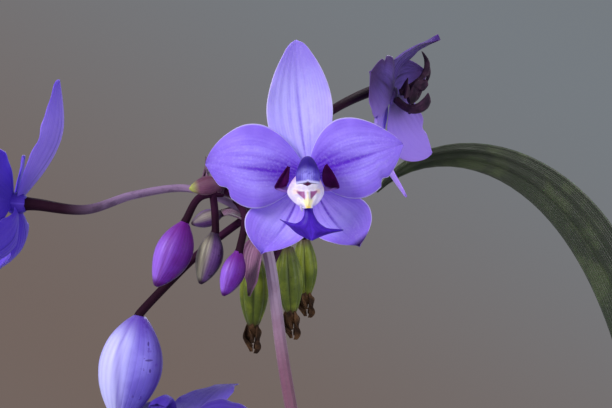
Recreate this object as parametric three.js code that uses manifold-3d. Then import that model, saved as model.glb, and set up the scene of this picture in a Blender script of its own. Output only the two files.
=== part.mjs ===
// A potted Philippine ground orchid, in millimetres, +Z up, standing on the XY plane, with the pot's
// axis on Z. A clay pot of bark mix holds four pseudobulbs with long pleated leaves. Two slender flower
// stems rise between the bulbs and carry open violet blooms, hanging buds, pointed bracts and ribbed
// seed capsules.
import * as THREE from "three";
import { mergeVertices } from "three/addons/utils/BufferGeometryUtils.js";
import Module from "manifold-3d";

const wasm = await Module();
wasm.setup();

// Driving dimensions
const GAP = 0.3; // clearance between pieces that touch
const POT = { height: 170, baseR: 64, topR: 92, wall: 9, floor: 10, drainR: 12, sides: 36 };
const RIM = { radius: 99, height: 30, bevel: 3 };
const SOIL = { top: 148, rings: 6 };
const BULB = { radius: 15, foot: -18, shoulder: 21, neckR: 6, neckTop: 36, sides: 12 };
const LEAF_STALK = { half: 4, share: 0.24, thick: 2, clearance: 0.6 };
const LEAF = { thick: 1.1, tipHalf: 0.9, fold: 0.16, pleat: 1.3, along: 12, across: 6, crowd: 0.85 };
const TEPAL = { thick: 0.8, clawHalf: 1.5, tipHalf: 0.5, along: 5, across: 4 };
const HUB = { radius: 2.4, back: -3, front: 0.8 };
const STEM = { rootZ: 128, rootR: 2.4, topR: 0.95, taper: 0.6, sides: 8, steps: 26 };
const STALK = { sides: 5, steps: 4, lead: 3, bloomR: [0.8, 1.45], budR: 0.8, flare: 1.15 };
const SHEATH = { swell: 1.1, share: 0.055, tall: [0.16, 0.33, 0.49], short: [0.2, 0.42] };
const BRACT = { thick: 0.8, half: 0.3, droop: 0.18, cup: 0.16 };
const CAPSULE = { podShare: 0.74, witheredR: [0.9, 1.7] };

// Where each pseudobulb stands, as x and y of its axis
const BULBS = [
  [-20, -2],
  [24.2, 23.6],
  [18, -24],
  [-23, 33],
];

// Each leaf: its bulb, length, half width, azimuth at the base and at the tip with the power of the turn,
// elevation at the base and at the tip with the power of the bend, and roll at the tip, in degrees;
// facing is the azimuth its face turns to, where that isn't the way it leans, and a crowd under 1 brings
// its stations closer together towards the tip
const LEAVES = [
  { bulb: 0, length: 425, half: 22, azimuth: [188, 206, 0.8], rise: [81, -38, 2.3], roll: 14 },
  { bulb: 0, length: 365, half: 20, azimuth: [272, 244, 0.8], rise: [80, -42, 1.9], roll: -10 },
  { bulb: 1, length: 495, half: 21, azimuth: [37, 180.3, 1.72], rise: [83.3, -55.1, 10.5], roll: 18,
    facing: 4, along: 15, crowd: 0.6 },
  { bulb: 1, length: 455, half: 23, azimuth: [130, 86, 0.9], rise: [82, -24, 2.5], roll: 12 },
  { bulb: 1, length: 415, half: 21, azimuth: [314, 358, 0.6], rise: [78, -48, 1.8], roll: 10 },
  { bulb: 2, length: 430, half: 23, azimuth: [330, 312, 0.8], rise: [79, -34, 2.1], roll: -8 },
  { bulb: 2, length: 395, half: 21, azimuth: [248, 292, 0.7], rise: [79, -46, 1.9], roll: 12 },
  { bulb: 3, length: 450, half: 22, azimuth: [168, 160, 1], rise: [80, -40, 2.1], roll: -14 },
  { bulb: 3, length: 415, half: 22, azimuth: [84, 116, 0.9], rise: [80, -36, 2.2], roll: 10 },
];

// The two flower stems, as points from the root to the tip of each flower head
const STEMS = {
  tall: [
    [1, 5, STEM.rootZ],
    [-3, 5, 250],
    [-13, 4, 370],
    [-33, 2, 480],
    [-48.2, 0, 555.8],
    [-53.3, 0, 589.5],
    [-58.5, -2, 600.6],
    [-68, -3, 604],
  ],
  short: [
    [-45, 10, STEM.rootZ],
    [-48, 12, 250],
    [-55, 15, 370],
    [-66, 17, 462],
    [-72, 17, 512],
    [-77, 15, 527],
    [-84, 12, 531],
  ],
};

// Open blooms: the heart's place, the way it faces, its roll in degrees, its size, how its tepals are held,
// and the points its stalk passes from the flower stem. For each tepal there is how far its tip leans back
// from flat, and belly is how far the dorsal one bends back below its tip
const FLAT = { dorsal: [0], petals: [0, 0], sepals: [0, 0], belly: 0 };
const SWEPT = { dorsal: [6], petals: [-7, -7], sepals: [-8, -8], belly: 4 };
const HALF_SHUT = { dorsal: [-13], petals: [-10.4, -0.2], sepals: [-3, -10], belly: 0 };
const REFLEXED = { dorsal: [12], petals: [2, 2], sepals: [5, 5], belly: 0 };
const BLOOMS = [
  { name: "front", at: [-44.7, -33, 605.7], faces: [0, -1, 0], roll: 0, size: 1, lean: FLAT,
    stem: "tall", stalk: [[-55.2, 0, 592], [-53, -9, 599.5], [-47, -19, 605]] },
  { name: "left", at: [-107.6, -5, 600.2], faces: [-0.97, 0.22, 0.06], roll: 0, size: 0.98, lean: SWEPT,
    stem: "tall", stalk: [[-57.5, -1.5, 598.5], [-70, 4, 603.3], [-82, 1, 602], [-92, -6, 598.8]] },
  { name: "rear", at: [-25.4, 27, 624.6], faces: [0.92, -0.32, -0.22], roll: 147, size: 0.86, lean: HALF_SHUT,
    stem: "tall", stalk: [[-54.5, 0, 594.5], [-48.5, 4, 611], [-40.4, 9, 619.8]] },
  { name: "low", at: [-73.1, -6, 551], faces: [-0.3, -0.57, 0.77], roll: 0, size: 0.96, lean: REFLEXED,
    stem: "short", stalk: [[-72.2, 17, 515], [-71, 10, 525], [-70, 3, 537]] },
  { name: "back", at: [-84, 44, 525], faces: [-0.2, 0.96, 0.16], roll: 0, size: 0.98, lean: FLAT,
    stem: "short", stalk: [[-70.8, 17, 503], [-74, 24, 515], [-82, 34, 523]] },
];

// Buds: the points that the stalk passes from the flower stem, where the bud starts and ends, and its
// greatest radius
const BUDS = [
  { name: "large", stem: "tall", radius: 6.7, stalkR: 0.85,
    stalk: [[-57.3, -1, 597.5], [-62.8, 3.5, 593.6], [-68.9, 4.5, 588.7], [-74.8, 3, 582.9]],
    start: [-80.2, 1, 576.8], end: [-85.3, 1, 552.5] },
  { name: "violet", stem: "tall", radius: 3.9, stalkR: 0.8,
    stalk: [[-63.1, -2.6, 602.5], [-67.9, -5, 601.3]], start: [-70.8, -6, 596.2], end: [-77, -6.5, 582.4] },
  { name: "small", stem: "tall", radius: 2.5, stalkR: 0.8,
    stalk: [[-59.8, -2.5, 600.8], [-58, -6, 597]], start: [-59.3, -7, 590], end: [-62.6, -7, 580.4] },
  { name: "pale", stem: "tall", radius: 2.8, stalkR: 0.8,
    stalk: [[-65.2, -2.9, 603], [-64.6, -4.5, 599]], start: [-64.6, -3.6, 594], end: [-67.6, -3.4, 582.8] },
  { name: "tip", stem: "tall", radius: 2, stalkR: 0.8,
    stalk: [[-62, -2.8, 602.6], [-59.4, -6, 605.2]], start: [-62.6, -8, 604.6], end: [-69.8, -9.2, 603.2] },
  { name: "inner", stem: "tall", radius: 1.9, stalkR: 0.7,
    stalk: [[-57, -1.2, 598], [-58.5, 6, 599.5]], start: [-63.4, 8.6, 598], end: [-70.2, 9, 595.6] },
  { name: "low_large", stem: "short", radius: 5.2, stalkR: 1.15,
    stalk: [[-75, 15.6, 524], [-80, 5, 528]], start: [-85.5, -4, 520], end: [-88.5, -6.5, 500.5] },
  { name: "low_left", stem: "short", radius: 3.6, stalkR: 0.95,
    stalk: [[-79, 14.2, 529], [-87, 14, 530]], start: [-93, 14.5, 522], end: [-96.5, 15, 506.5] },
  { name: "low_back", stem: "short", radius: 2.7, stalkR: 0.9,
    stalk: [[-81, 13.2, 530.4], [-83.5, 19, 531.5]], start: [-86.5, 22, 526], end: [-89, 23.5, 514.5] },
];

// Seed capsules below the blooms, placed the same way as the buds
const CAPSULES = [
  { name: "left", stem: "tall", radius: 2.9,
    stalk: [[-53.6, 0, 590.5], [-57, 15, 594]], start: [-56.6, 27, 588], end: [-57.2, 29.5, 566] },
  { name: "middle", stem: "tall", radius: 2.7,
    stalk: [[-53.3, 0.2, 588.4], [-50, 12, 594.5]], start: [-49.3, 20, 590.5], end: [-48, 22, 569.5] },
  { name: "right", stem: "tall", radius: 2.5,
    stalk: [[-53, 0.3, 586.4], [-47, 16, 597]], start: [-45.5, 30, 592], end: [-44.8, 32.5, 574] },
  { name: "low", stem: "short", radius: 2.9,
    stalk: [[-69.4, 17, 493], [-58, 24, 500]], start: [-53.5, 29, 494], end: [-52.5, 31, 471] },
];

// Bracts: which flower stem, how far along it, the way it points, and its length
const BRACTS = [
  { stem: "tall", share: 0.985, points: [-0.1, 0.2, 0.97], length: 4 },
  { stem: "tall", share: 0.955, points: [-0.4, 0.5, 0.9], length: 9 },
  { stem: "tall", share: 0.93, points: [0.2, -0.35, 1], length: 9 },
  { stem: "tall", share: 0.86, points: [0.75, 0.35, 0.6], length: 10 },
  { stem: "tall", share: 0.775, points: [-0.75, 0.45, 0.35], length: 11 },
  { stem: "tall", share: 0.74, points: [-0.3, -0.35, -0.9], length: 12 },
  { stem: "short", share: 0.98, points: [-0.8, 0.2, 0.75], length: 8 },
  { stem: "short", share: 0.9, points: [0.25, 0.5, 1], length: 9 },
  { stem: "short", share: 0.78, points: [0.8, -0.2, 0.4], length: 11 },
];

// The tepals of one bloom, seen from the front with x right and y up: base, tip, sideways bow,
// then for each edge its greatest half width, where that lies and how full the edge is;
// depths are the mid line's z at the base, middle and tip, and cup lifts the edges
const TEPALS = {
  dorsal: [
    { base: [0.2, 0.8], tip: [-2.36, 27.5], bow: 0.7, left: [6.7, 0.43, 0.65], right: [6.9, 0.5, 0.65],
      depths: [-1, -3, 0.5], cup: 1.5 },
  ],
  petals: [
    { base: [-0.3, 0.2], tip: [-20.7, 2.5], bow: 0, left: [7.3, 0.53, 0.85], right: [9.2, 0.5, 0.68],
      depths: [0.2, 0.6, -1.2], cup: -0.9 },
    { base: [0.5, 0.5], tip: [19.4, 6.4], bow: 0, left: [8.86, 0.42, 0.8], right: [8.0, 0.47, 0.85],
      depths: [0.2, 0.6, -1.2], cup: -0.9 },
  ],
  sepals: [
    { base: [-1, -1.4], tip: [-9.4, -15.8], bow: 1.2, left: [4.8, 0.5, 0.9], right: [6.7, 0.55, 0.65],
      depths: [-1, -3, -0.5], cup: 0.8 },
    { base: [1, -1.4], tip: [10.6, -14.3], bow: -1.2, left: [6.7, 0.55, 0.65], right: [4.8, 0.5, 0.9],
      depths: [-1, -3, -0.5], cup: 0.8 },
  ],
};

// The lip, callus and column in the same bloom frame; halves are [share of the length, half width]
const LIP = {
  thick: [1.2, 0.9],
  roll: -8,
  droop: 0.9,
  spine: [[0, -1.3, 1.5], [0.1, -2.8, 3.5], [0.3, -6.5, 5.1], [0.6, -10, 6.2], [0.8, -13, 5.8]],
  halves: [
    [0, 1.3], [0.35, 1.5], [0.47, 1.05], [0.6, 1.5],
    [0.68, 3], [0.74, 6.2], [0.83, 4.4], [0.92, 2.2], [1, 0.6],
  ],
};
const SIDE_LOBE = {
  thick: 0.8,
  spine: [[0.6, -2, 1.9], [2.6, -2, 3], [4.6, -1, 4.6], [6, -0.2, 5.2]],
  halves: [[0, 1], [0.4, 1.3], [0.75, 2.5], [1, 2.2]],
};
const CALLUS = {
  thick: 1.3,
  hump: 0.7,
  spine: [[0, -0.9, 5], [0.1, -2.4, 5.8], [0.2, -4.4, 6.7], [0.35, -6.6, 7.3]],
  halves: [[0, 3.1], [0.35, 3.6], [0.65, 3.2], [1, 1.2]],
};
const COLUMN = {
  spine: [[0, 1, 1.55], [0, 2.2, 4], [0, 2.6, 6.8], [0, 1.3, 9.2], [0, -0.7, 9.5]],
  half: [1.1, 1.2, 1.7, 2.5, 2.2],
  deep: [1, 1.1, 1.3, 1.1, 0.7],
};

// Materials
const finish = (color, roughness) => new THREE.MeshStandardMaterial({ color, roughness, metalness: 0 });
const clay = finish(0xb5683f, 0.9);
const barkMix = finish(0x3b2a1e, 0.95);
const bulbSkin = finish(0x7d7a3c, 0.7);
const leafGreen = finish(0x3f6b2b, 0.5);
const stemPlum = finish(0x7c4d6b, 0.5);
const violetPetal = finish(0xa58cf0, 0.5);
const deepViolet = finish(0x4a1fb4, 0.5);
const cream = finish(0xf1e4dc, 0.5);
const columnViolet = finish(0x6f55d0, 0.45);
const budViolet = finish(0x8a5fd6, 0.45);
const capsuleGreen = finish(0x5c6b1e, 0.6);

// Small helpers
const UP = new THREE.Vector3(0, 0, 1);
const vec = (p) => new THREE.Vector3(...p);
const radians = THREE.MathUtils.degToRad;
const { lerp, smoothstep } = THREE.MathUtils;

// A smooth curve through points, read by a share of the way from 0 to 1
function through(points) {
  const curve = new THREE.CatmullRomCurve3(points.map(vec), false, "catmullrom", 0.5);
  return (t) => curve.getPoint(THREE.MathUtils.clamp(t, 0, 1));
}

// A value read from [share, value] stops with smooth steps between them
function stops(list) {
  return (t) => {
    const next = list.findIndex(([share]) => share >= t);
    if (next <= 0) return list[Math.max(next, 0)][1];
    const [a, from] = list[next - 1];
    const [b, to] = list[next];
    return lerp(from, to, smoothstep(t, a, b));
  };
}

// A closed geometry from points and triangles, with its faces turned outwards
function closed(points, triangles) {
  const volume = triangles.reduce((sum, [a, b, c]) => {
    return sum + points[a].dot(points[b].clone().cross(points[c]));
  }, 0);
  const index = triangles.flatMap(([a, b, c]) => (volume < 0 ? [a, c, b] : [a, b, c]));
  const flat = points.flatMap((p) => p.toArray());
  const geometry = new THREE.BufferGeometry();
  geometry.setAttribute("position", new THREE.Float32BufferAttribute(flat, 3));
  geometry.setIndex(index);
  return geometry;
}

// A tube whose rings are loops of points, closed with a fan at each end
function loft(rings) {
  const sides = rings[0].length;
  const points = rings.flat();
  const triangles = [];
  for (let i = 0; i + 1 < rings.length; i++) {
    for (let j = 0; j < sides; j++) {
      const a = i * sides + j;
      const b = i * sides + ((j + 1) % sides);
      triangles.push([a, b, b + sides], [a, b + sides, a + sides]);
    }
  }
  const middle = (ring) => ring.reduce((sum, p) => sum.add(p), new THREE.Vector3()).divideScalar(sides);
  const last = (rings.length - 1) * sides;
  const foot = points.push(middle(rings[0])) - 1;
  const head = points.push(middle(rings[rings.length - 1])) - 1;
  for (let j = 0; j < sides; j++) {
    const k = (j + 1) % sides;
    triangles.push([foot, k, j], [head, last + j, last + k]);
  }
  return closed(points, triangles);
}

// The direction of a path at a share of its way
function heading(path, t) {
  const step = 1e-3;
  return path(Math.min(1, t + step)).sub(path(Math.max(0, t - step))).normalize();
}

// A tube along a path; radius(t, angle, j) may vary along it and round it, with j the corner's number
function tube({ path, radius, sides, steps }) {
  const mostlyX = Math.abs(heading(path, 0).x) > 0.9;
  let across = mostlyX ? new THREE.Vector3(0, 1, 0) : new THREE.Vector3(1, 0, 0);
  const rings = [];
  for (let i = 0; i <= steps; i++) {
    const t = i / steps;
    const ahead = heading(path, t);
    across = across.clone().addScaledVector(ahead, -across.dot(ahead)).normalize();
    const up = ahead.clone().cross(across);
    const ring = [];
    for (let j = 0; j < sides; j++) {
      const angle = (2 * Math.PI * j) / sides;
      const r = radius(t, angle, j);
      const corner = path(t).addScaledVector(across, r * Math.cos(angle));
      ring.push(corner.addScaledVector(up, r * Math.sin(angle)));
    }
    rings.push(ring);
  }
  return loft(rings);
}

// A thin blade on a spine: side(t) points across it, half(t) gives its two half widths,
// and lift(t, s) raises the surface, with s from -1 at one edge to 1 at the other
function blade({ spine, side, half, lift, thick, along, across, crowd = 1 }) {
  const top = [];
  const bottom = [];
  for (let i = 0; i <= along; i++) {
    const t = (i / along) ** crowd;
    const out = side(t);
    const normal = out.clone().cross(heading(spine, t)).normalize();
    const [left, right] = half(t);
    const depth = (typeof thick === "function" ? thick(t) : thick) / 2;
    for (let j = 0; j <= across; j++) {
      const s = (2 * j) / across - 1;
      const at = spine(t).addScaledVector(out, s * (s < 0 ? left : right));
      top.push(at.clone().addScaledVector(normal, lift(t, s) + depth));
      bottom.push(at.addScaledVector(normal, lift(t, s) - depth));
    }
  }
  const wide = across + 1;
  const under = top.length;
  const triangles = [];
  for (let i = 0; i < along; i++) {
    for (let j = 0; j < across; j++) {
      const a = i * wide + j;
      const [b, c, d] = [a + 1, a + wide + 1, a + wide];
      const faces = [[a, b, c], [a, c, d]];
      triangles.push(...faces, ...faces.map(([p, q, r]) => [under + p, under + r, under + q]));
    }
  }
  const rim = [];
  for (let j = 0; j < across; j++) rim.push(j);
  for (let i = 0; i < along; i++) rim.push(i * wide + across);
  for (let j = across; j > 0; j--) rim.push(along * wide + j);
  for (let i = along; i > 0; i--) rim.push(i * wide);
  rim.forEach((a, k) => {
    const b = rim[(k + 1) % rim.length];
    triangles.push([a, under + a, under + b], [a, under + b, b]);
  });
  return closed([...top, ...bottom], triangles);
}

// A geometry as a solid, and back
function toSolid(geometry) {
  const bare = geometry.clone();
  bare.deleteAttribute("normal");
  bare.deleteAttribute("uv");
  const merged = mergeVertices(bare, 1e-4);
  return new wasm.Manifold(
    new wasm.Mesh({
      numProp: 3,
      vertProperties: merged.attributes.position.array,
      triVerts: new Uint32Array(merged.index.array),
    }),
  );
}

function toGeometry(solid) {
  const { vertProperties, triVerts } = solid.getMesh();
  const geometry = new THREE.BufferGeometry();
  geometry.setAttribute("position", new THREE.BufferAttribute(vertProperties, 3));
  geometry.setIndex(new THREE.BufferAttribute(triVerts, 1));
  return geometry;
}

function fuse(geometries) {
  return toGeometry(geometries.map(toSolid).reduce((whole, next) => whole.add(next)));
}

function cut(geometry, tools) {
  return toGeometry(tools.map(toSolid).reduce((left, tool) => left.subtract(tool), toSolid(geometry)));
}

const plant = new THREE.Group();
function place(name, geometry, material, parent = plant) {
  const mesh = new THREE.Mesh(geometry, material);
  mesh.name = name;
  parent.add(mesh);
}

// A profile of [radius, height] pairs turned about Z
function turned(profile, sides) {
  const lathe = new THREE.LatheGeometry(profile.map(([r, z]) => new THREE.Vector2(r, z)), sides);
  return lathe.rotateX(Math.PI / 2);
}

// Pot: a tapered clay pot with a raised rim band and a drain hole in the middle of its floor
const potOuterR = (z) => lerp(POT.baseR, POT.topR, z / POT.height);
const potInnerR = (z) => potOuterR(z) - POT.wall;
const POT_FOOT = [
  [potInnerR(POT.floor) - RIM.bevel, POT.floor],
  [potInnerR(POT.floor + RIM.bevel), POT.floor + RIM.bevel],
]; // the rounded corner between the floor and the wall, inside
function pot() {
  const rimFoot = POT.height - RIM.height;
  const mouth = POT.height - RIM.bevel;
  const drain = [POT.drainR, 0];
  const profile = [
    drain,
    [POT.baseR - 2, 0],
    [POT.baseR, 2],
    [potOuterR(rimFoot), rimFoot],
    [RIM.radius - RIM.bevel, rimFoot + 2],
    [RIM.radius, mouth],
    [RIM.radius - RIM.bevel, POT.height],
    [potInnerR(mouth) + RIM.bevel, POT.height],
    [potInnerR(mouth), mouth],
    ...POT_FOOT.toReversed(),
    [POT.drainR, POT.floor],
    drain,
  ];
  return turned(profile, POT.sides);
}

// Pseudobulbs: plump corms half sunk in the mix, each with a neck that the leaves clasp
function bulb([x, y], grow = 0) {
  const { radius, foot, shoulder, neckR, neckTop, sides } = BULB;
  const profile = [
    [0, foot - grow],
    [radius * 0.62 + grow, foot + 1 - grow],
    [radius * 0.92 + grow, foot + 9],
    [radius + grow, 1],
    [radius * 0.88 + grow, 11],
    [neckR + 3 + grow, shoulder - 3],
    [neckR + grow, shoulder + 1],
    [neckR - 0.8 + grow, neckTop],
    [0, neckTop + grow],
  ];
  return turned(profile, sides).translate(x, y, SOIL.top);
}

// Flower stems with their sheaths, bracts and the stalks of blooms, buds and capsules
const stemPath = { tall: through(STEMS.tall), short: through(STEMS.short) };
function stemRadius(name, grow = 0) {
  return (t) => {
    const swells = SHEATH[name].map((foot) => {
      const along = (t - foot) / SHEATH.share;
      return along > 0 && along < 1 ? SHEATH.swell * (1 - 0.5 * along) : 0;
    });
    return lerp(STEM.rootR, STEM.topR, t ** STEM.taper) + Math.max(...swells) + grow;
  };
}

// A stalk passes the given points and meets what it bears squarely, along the direction away
function stalk({ points, end, away, radii }) {
  const lead = end.clone().addScaledVector(away, -STALK.lead);
  const path = through([...points, lead.toArray(), end.toArray()]);
  const radius = (t) => lerp(radii[0], radii[1], t ** 2);
  return tube({ path, radius, sides: STALK.sides, steps: STALK.steps });
}

function bract({ stem, share, points, length }) {
  const root = stemPath[stem](share);
  const along = vec(points).normalize();
  const stemwise = heading(stemPath[stem], share);
  const out = along.clone().cross(stemwise).normalize();
  const spine = (t) => {
    const straight = root.clone().addScaledVector(along, length * t);
    return straight.addScaledVector(stemwise, -BRACT.droop * length * t * t);
  };
  return blade({
    spine,
    side: () => out,
    half: (t) => {
      const wide = TEPAL.tipHalf + BRACT.half * length * Math.sin(Math.PI * (0.12 + 0.88 * t) ** 0.8);
      return [wide, wide];
    },
    lift: (t, s) => BRACT.cup * length * s * s * Math.sin(Math.PI * Math.min(1, t + 0.2)),
    thick: BRACT.thick,
    along: 3,
    across: 2,
  });
}

function flowerStem(name) {
  const onThis = ({ stem }) => stem === name;
  const pieces = [
    tube({ path: stemPath[name], radius: stemRadius(name), sides: STEM.sides, steps: STEM.steps }),
    ...BRACTS.filter(onThis).map(bract),
  ];
  for (const { at, faces, size, stalk: points } of BLOOMS.filter(onThis)) {
    const away = vec(faces).normalize();
    const end = vec(at).addScaledVector(away, (HUB.back - GAP) * size);
    pieces.push(stalk({ points, end, away, radii: STALK.bloomR }));
  }
  for (const { start, end, stalk: points, stalkR = STALK.budR } of [...BUDS, ...CAPSULES].filter(onThis)) {
    const away = vec(end).sub(vec(start)).normalize();
    pieces.push(stalk({ points, end: vec(start), away, radii: [stalkR, STALK.flare * stalkR] }));
  }
  return fuse(pieces);
}

// Soil: the bark mix that fills the pot, lumpy on top, with plain holes for bulbs and flower stems;
// each lump is a wave with its height, its turn a millimetre along x and along y, and its phase
const LUMPS = [
  [0.8, 0.19, 0.16, 1.3],
  [0.8, 0.19, -0.16, 1.3],
  [1.2, 0.41, -0.37, 0],
  [0.9, 0.52, 0.33, 1.6],
];
function soilTop(x, y) {
  const lumps = LUMPS.map(([height, kx, ky, phase]) => height * Math.sin(kx * x + ky * y + phase));
  return SOIL.top + lumps.reduce((sum, lump) => sum + lump);
}

function soil() {
  const edgeR = potInnerR(SOIL.top) - GAP;
  const circle = (r, heightAt) =>
    Array.from({ length: POT.sides }, (_, j) => {
      const angle = (2 * Math.PI * j) / POT.sides;
      const [x, y] = [r * Math.sin(angle), -r * Math.cos(angle)];
      return new THREE.Vector3(x, y, heightAt(x, y));
    });
  const rings = POT_FOOT.map(([r, z]) => circle(r - GAP, () => z + GAP));
  rings.push(circle(edgeR, () => SOIL.top));
  for (let i = SOIL.rings - 1; i > 0; i--) rings.push(circle((edgeR * i) / SOIL.rings, soilTop));
  const stemHoles = Object.keys(STEMS).map((name) => {
    const path = (t) => stemPath[name](t).add(new THREE.Vector3(0, 0, -GAP * (1 - t)));
    return tube({ path, radius: stemRadius(name, GAP), sides: STEM.sides, steps: STEM.steps });
  });
  return cut(loft(rings), [...BULBS.map((spot) => bulb(spot, GAP)), ...stemHoles]);
}

// Leaves: channelled stalks that open into long pleated blades and arch over
const TRACK_STEPS = 240;
function track({ bulb: home, length, azimuth, rise }) {
  const turn = (t) => radians(lerp(azimuth[0], azimuth[1], t ** azimuth[2]));
  const pitch = (t) => radians(lerp(rise[0], rise[1], t ** rise[2]));
  const [x, y] = BULBS[home];
  const fromAxis = BULB.neckR + LEAF_STALK.thick / 2 + LEAF_STALK.clearance;
  const foot = new THREE.Vector3(fromAxis, 0, BULB.shoulder + 2).applyAxisAngle(UP, turn(0));
  const points = [foot.add(new THREE.Vector3(x, y, SOIL.top))];
  for (let i = 0; i < TRACK_STEPS; i++) {
    const t = (i + 0.5) / TRACK_STEPS;
    const step = new THREE.Vector3().setFromSphericalCoords(length / TRACK_STEPS, Math.PI / 2 - pitch(t), 0);
    points.push(points[i].clone().add(new THREE.Vector3(step.z, 0, step.y).applyAxisAngle(UP, turn(t))));
  }
  return (t) => {
    const at = THREE.MathUtils.clamp(t, 0, 1) * TRACK_STEPS;
    const i = Math.min(Math.floor(at), TRACK_STEPS - 1);
    return points[i].clone().lerp(points[i + 1], at - i);
  };
}

function leaf(shape) {
  const { half, azimuth, roll, facing = azimuth[1], along = LEAF.along, crowd = LEAF.crowd } = shape;
  const spine = track(shape);
  const opened = (t) => {
    const u = Math.max(0, (t - LEAF_STALK.share) / (1 - LEAF_STALK.share));
    return Math.sin(Math.PI * u ** 0.75) ** 1.1;
  };
  return blade({
    spine,
    side: (t) => {
      const square = radians(lerp(azimuth[0], facing, smoothstep(t, 0, 0.6)));
      const level = new THREE.Vector3(Math.sin(square), -Math.cos(square), 0);
      const ahead = heading(spine, t);
      level.addScaledVector(ahead, -level.dot(ahead)).normalize();
      return level.applyAxisAngle(ahead, radians(roll * t * t));
    },
    half: (t) => {
      const wide = lerp(LEAF_STALK.half, LEAF.tipHalf, t) + half * opened(t);
      return [wide, wide];
    },
    lift: (t, s) => {
      const channel = lerp(0.35 * LEAF_STALK.half, LEAF.fold * half, opened(t));
      const ridge = Math.round((s + 1) * (LEAF.across / 2)) % 2 ? 1 : -1;
      return channel * Math.abs(s) + ridge * LEAF.pleat * opened(t);
    },
    thick: (t) => lerp(LEAF_STALK.thick, LEAF.thick, Math.min(1, t / LEAF_STALK.share)),
    along,
    across: LEAF.across,
    crowd,
  });
}

// A tepal edge's half width at a share of its length
function edge([most, peak, full]) {
  const power = Math.log(0.5) / Math.log(peak);
  return (t) => {
    const arch = most * Math.sin(Math.PI * t ** power) ** full;
    return Math.max(TEPAL.clawHalf * (1 - t), arch, TEPAL.tipHalf);
  };
}

function tepal({ base, tip, bow, left, right, depths, cup }, lean, belly) {
  const [root, run] = [vec([...base, 0]), vec([tip[0] - base[0], tip[1] - base[1], 0])];
  const out = new THREE.Vector3(run.y, -run.x, 0).normalize();
  const depth = new THREE.SplineCurve(depths.map((z, i) => new THREE.Vector2(i / 2, z)));
  const spine = (t) => {
    const at = root.clone().addScaledVector(run, t).addScaledVector(out, -bow * Math.sin(Math.PI * t));
    at.z = depth.getPoint(THREE.MathUtils.clamp(t, 0, 1)).y - lean * t * t;
    at.z -= belly * Math.sin(0.8 * Math.PI * t);
    return at;
  };
  const [leftHalf, rightHalf] = [edge(left), edge(right)];
  return blade({
    spine,
    side: () => out,
    half: (t) => [leftHalf(t), rightHalf(t)],
    lift: (t, s) => cup * s * s * Math.sin(Math.PI * t),
    thick: TEPAL.thick,
    along: TEPAL.along,
    across: TEPAL.across,
  });
}

// The hub and five tepals of a bloom, fused
function perianth(lean) {
  const { radius, back, front } = HUB;
  const hub = turned([[0, back], [0.7 * radius, back], [radius, back / 2], [radius, front], [0, front]], 8);
  const tepals = Object.entries(TEPALS).flatMap(([kind, shapes]) => {
    return shapes.map((shape, i) => tepal(shape, lean[kind][i], kind === "dorsal" ? lean.belly : 0));
  });
  return fuse([hub, ...tepals]);
}

// The lip: a clawed tongue that flares into two horns, with an erect lobe at each side
function lip() {
  const tongueHalf = stops(LIP.halves);
  const tongue = blade({
    spine: through(LIP.spine),
    side: (t) => new THREE.Vector3(1, 0, 0).applyAxisAngle(UP, radians(LIP.roll * t)),
    half: (t) => [tongueHalf(t), tongueHalf(t)],
    lift: (t, s) => -LIP.droop * s * s * smoothstep(t, 0.55, 0.75),
    thick: (t) => lerp(LIP.thick[0], LIP.thick[1], Math.min(1, 2 * t)),
    along: 9,
    across: 2,
  });
  const lobeHalf = stops(SIDE_LOBE.halves);
  const lobes = [-1, 1].map((way) =>
    blade({
      spine: through(SIDE_LOBE.spine.map(([x, y, z]) => [way * x, y, z])),
      side: (t) => new THREE.Vector3(-0.45 * way * t, 0.9, 0.25).normalize(),
      half: (t) => [lobeHalf(t), lobeHalf(t)],
      lift: (t, s) => 0.5 * way * s * s * t,
      thick: SIDE_LOBE.thick,
      along: 3,
      across: 2,
    }),
  );
  return fuse([tongue, ...lobes]);
}

// The callus: a pale two-humped cushion on the lip's claw
function callus() {
  const half = stops(CALLUS.halves);
  return blade({
    spine: through(CALLUS.spine),
    side: () => new THREE.Vector3(1, 0, 0),
    half: (t) => [half(t), half(t)],
    lift: (t, s) => CALLUS.hump * Math.sin(Math.PI * Math.abs(s)) - 0.3 * s * s,
    thick: CALLUS.thick,
    along: 3,
    across: 4,
  });
}

// The column: an arched club that ends in a winged hood
function column() {
  const read = (values) => stops(values.map((value, i) => [i / (values.length - 1), value]));
  const [half, deep] = [read(COLUMN.half), read(COLUMN.deep)];
  const radius = (t, angle) => 1 / Math.hypot(Math.cos(angle) / half(t), Math.sin(angle) / deep(t));
  return tube({ path: through(COLUMN.spine), radius, sides: 8, steps: 5 });
}

function bloom({ name, at, faces, roll, size, lean }) {
  const group = new THREE.Group();
  const facing = vec(faces).normalize();
  const right = UP.clone().cross(facing).normalize();
  const turn = new THREE.Matrix4().makeBasis(right, facing.clone().cross(right), facing);
  group.quaternion.setFromRotationMatrix(turn);
  group.rotateZ(radians(roll));
  group.position.copy(vec(at));
  group.scale.setScalar(size);
  place(`bloom_${name}_tepals`, perianth(lean), violetPetal, group);
  place(`bloom_${name}_lip`, lip(), deepViolet, group);
  place(`bloom_${name}_callus`, callus(), cream, group);
  place(`bloom_${name}_column`, column(), columnViolet, group);
  plant.add(group);
}

// Buds and capsules hang from their stalks' ends
function hanging({ start, end }, radius, sides, steps) {
  const away = vec(end).sub(vec(start)).normalize();
  const from = vec(start).addScaledVector(away, GAP);
  const path = (t) => from.clone().lerp(vec(end), t);
  return tube({ path, radius, sides, steps });
}

function bud({ radius, stalkR, ...ends }) {
  const swell = (t, angle) => {
    const body = radius * Math.sin(Math.PI * (0.02 + 0.96 * t) ** 0.9) ** 0.75;
    return Math.max(stalkR * STALK.flare * (1 - t), body, TEPAL.tipHalf) * (1 + 0.06 * Math.cos(3 * angle));
  };
  return hanging(ends, swell, 9, 6);
}

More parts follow.
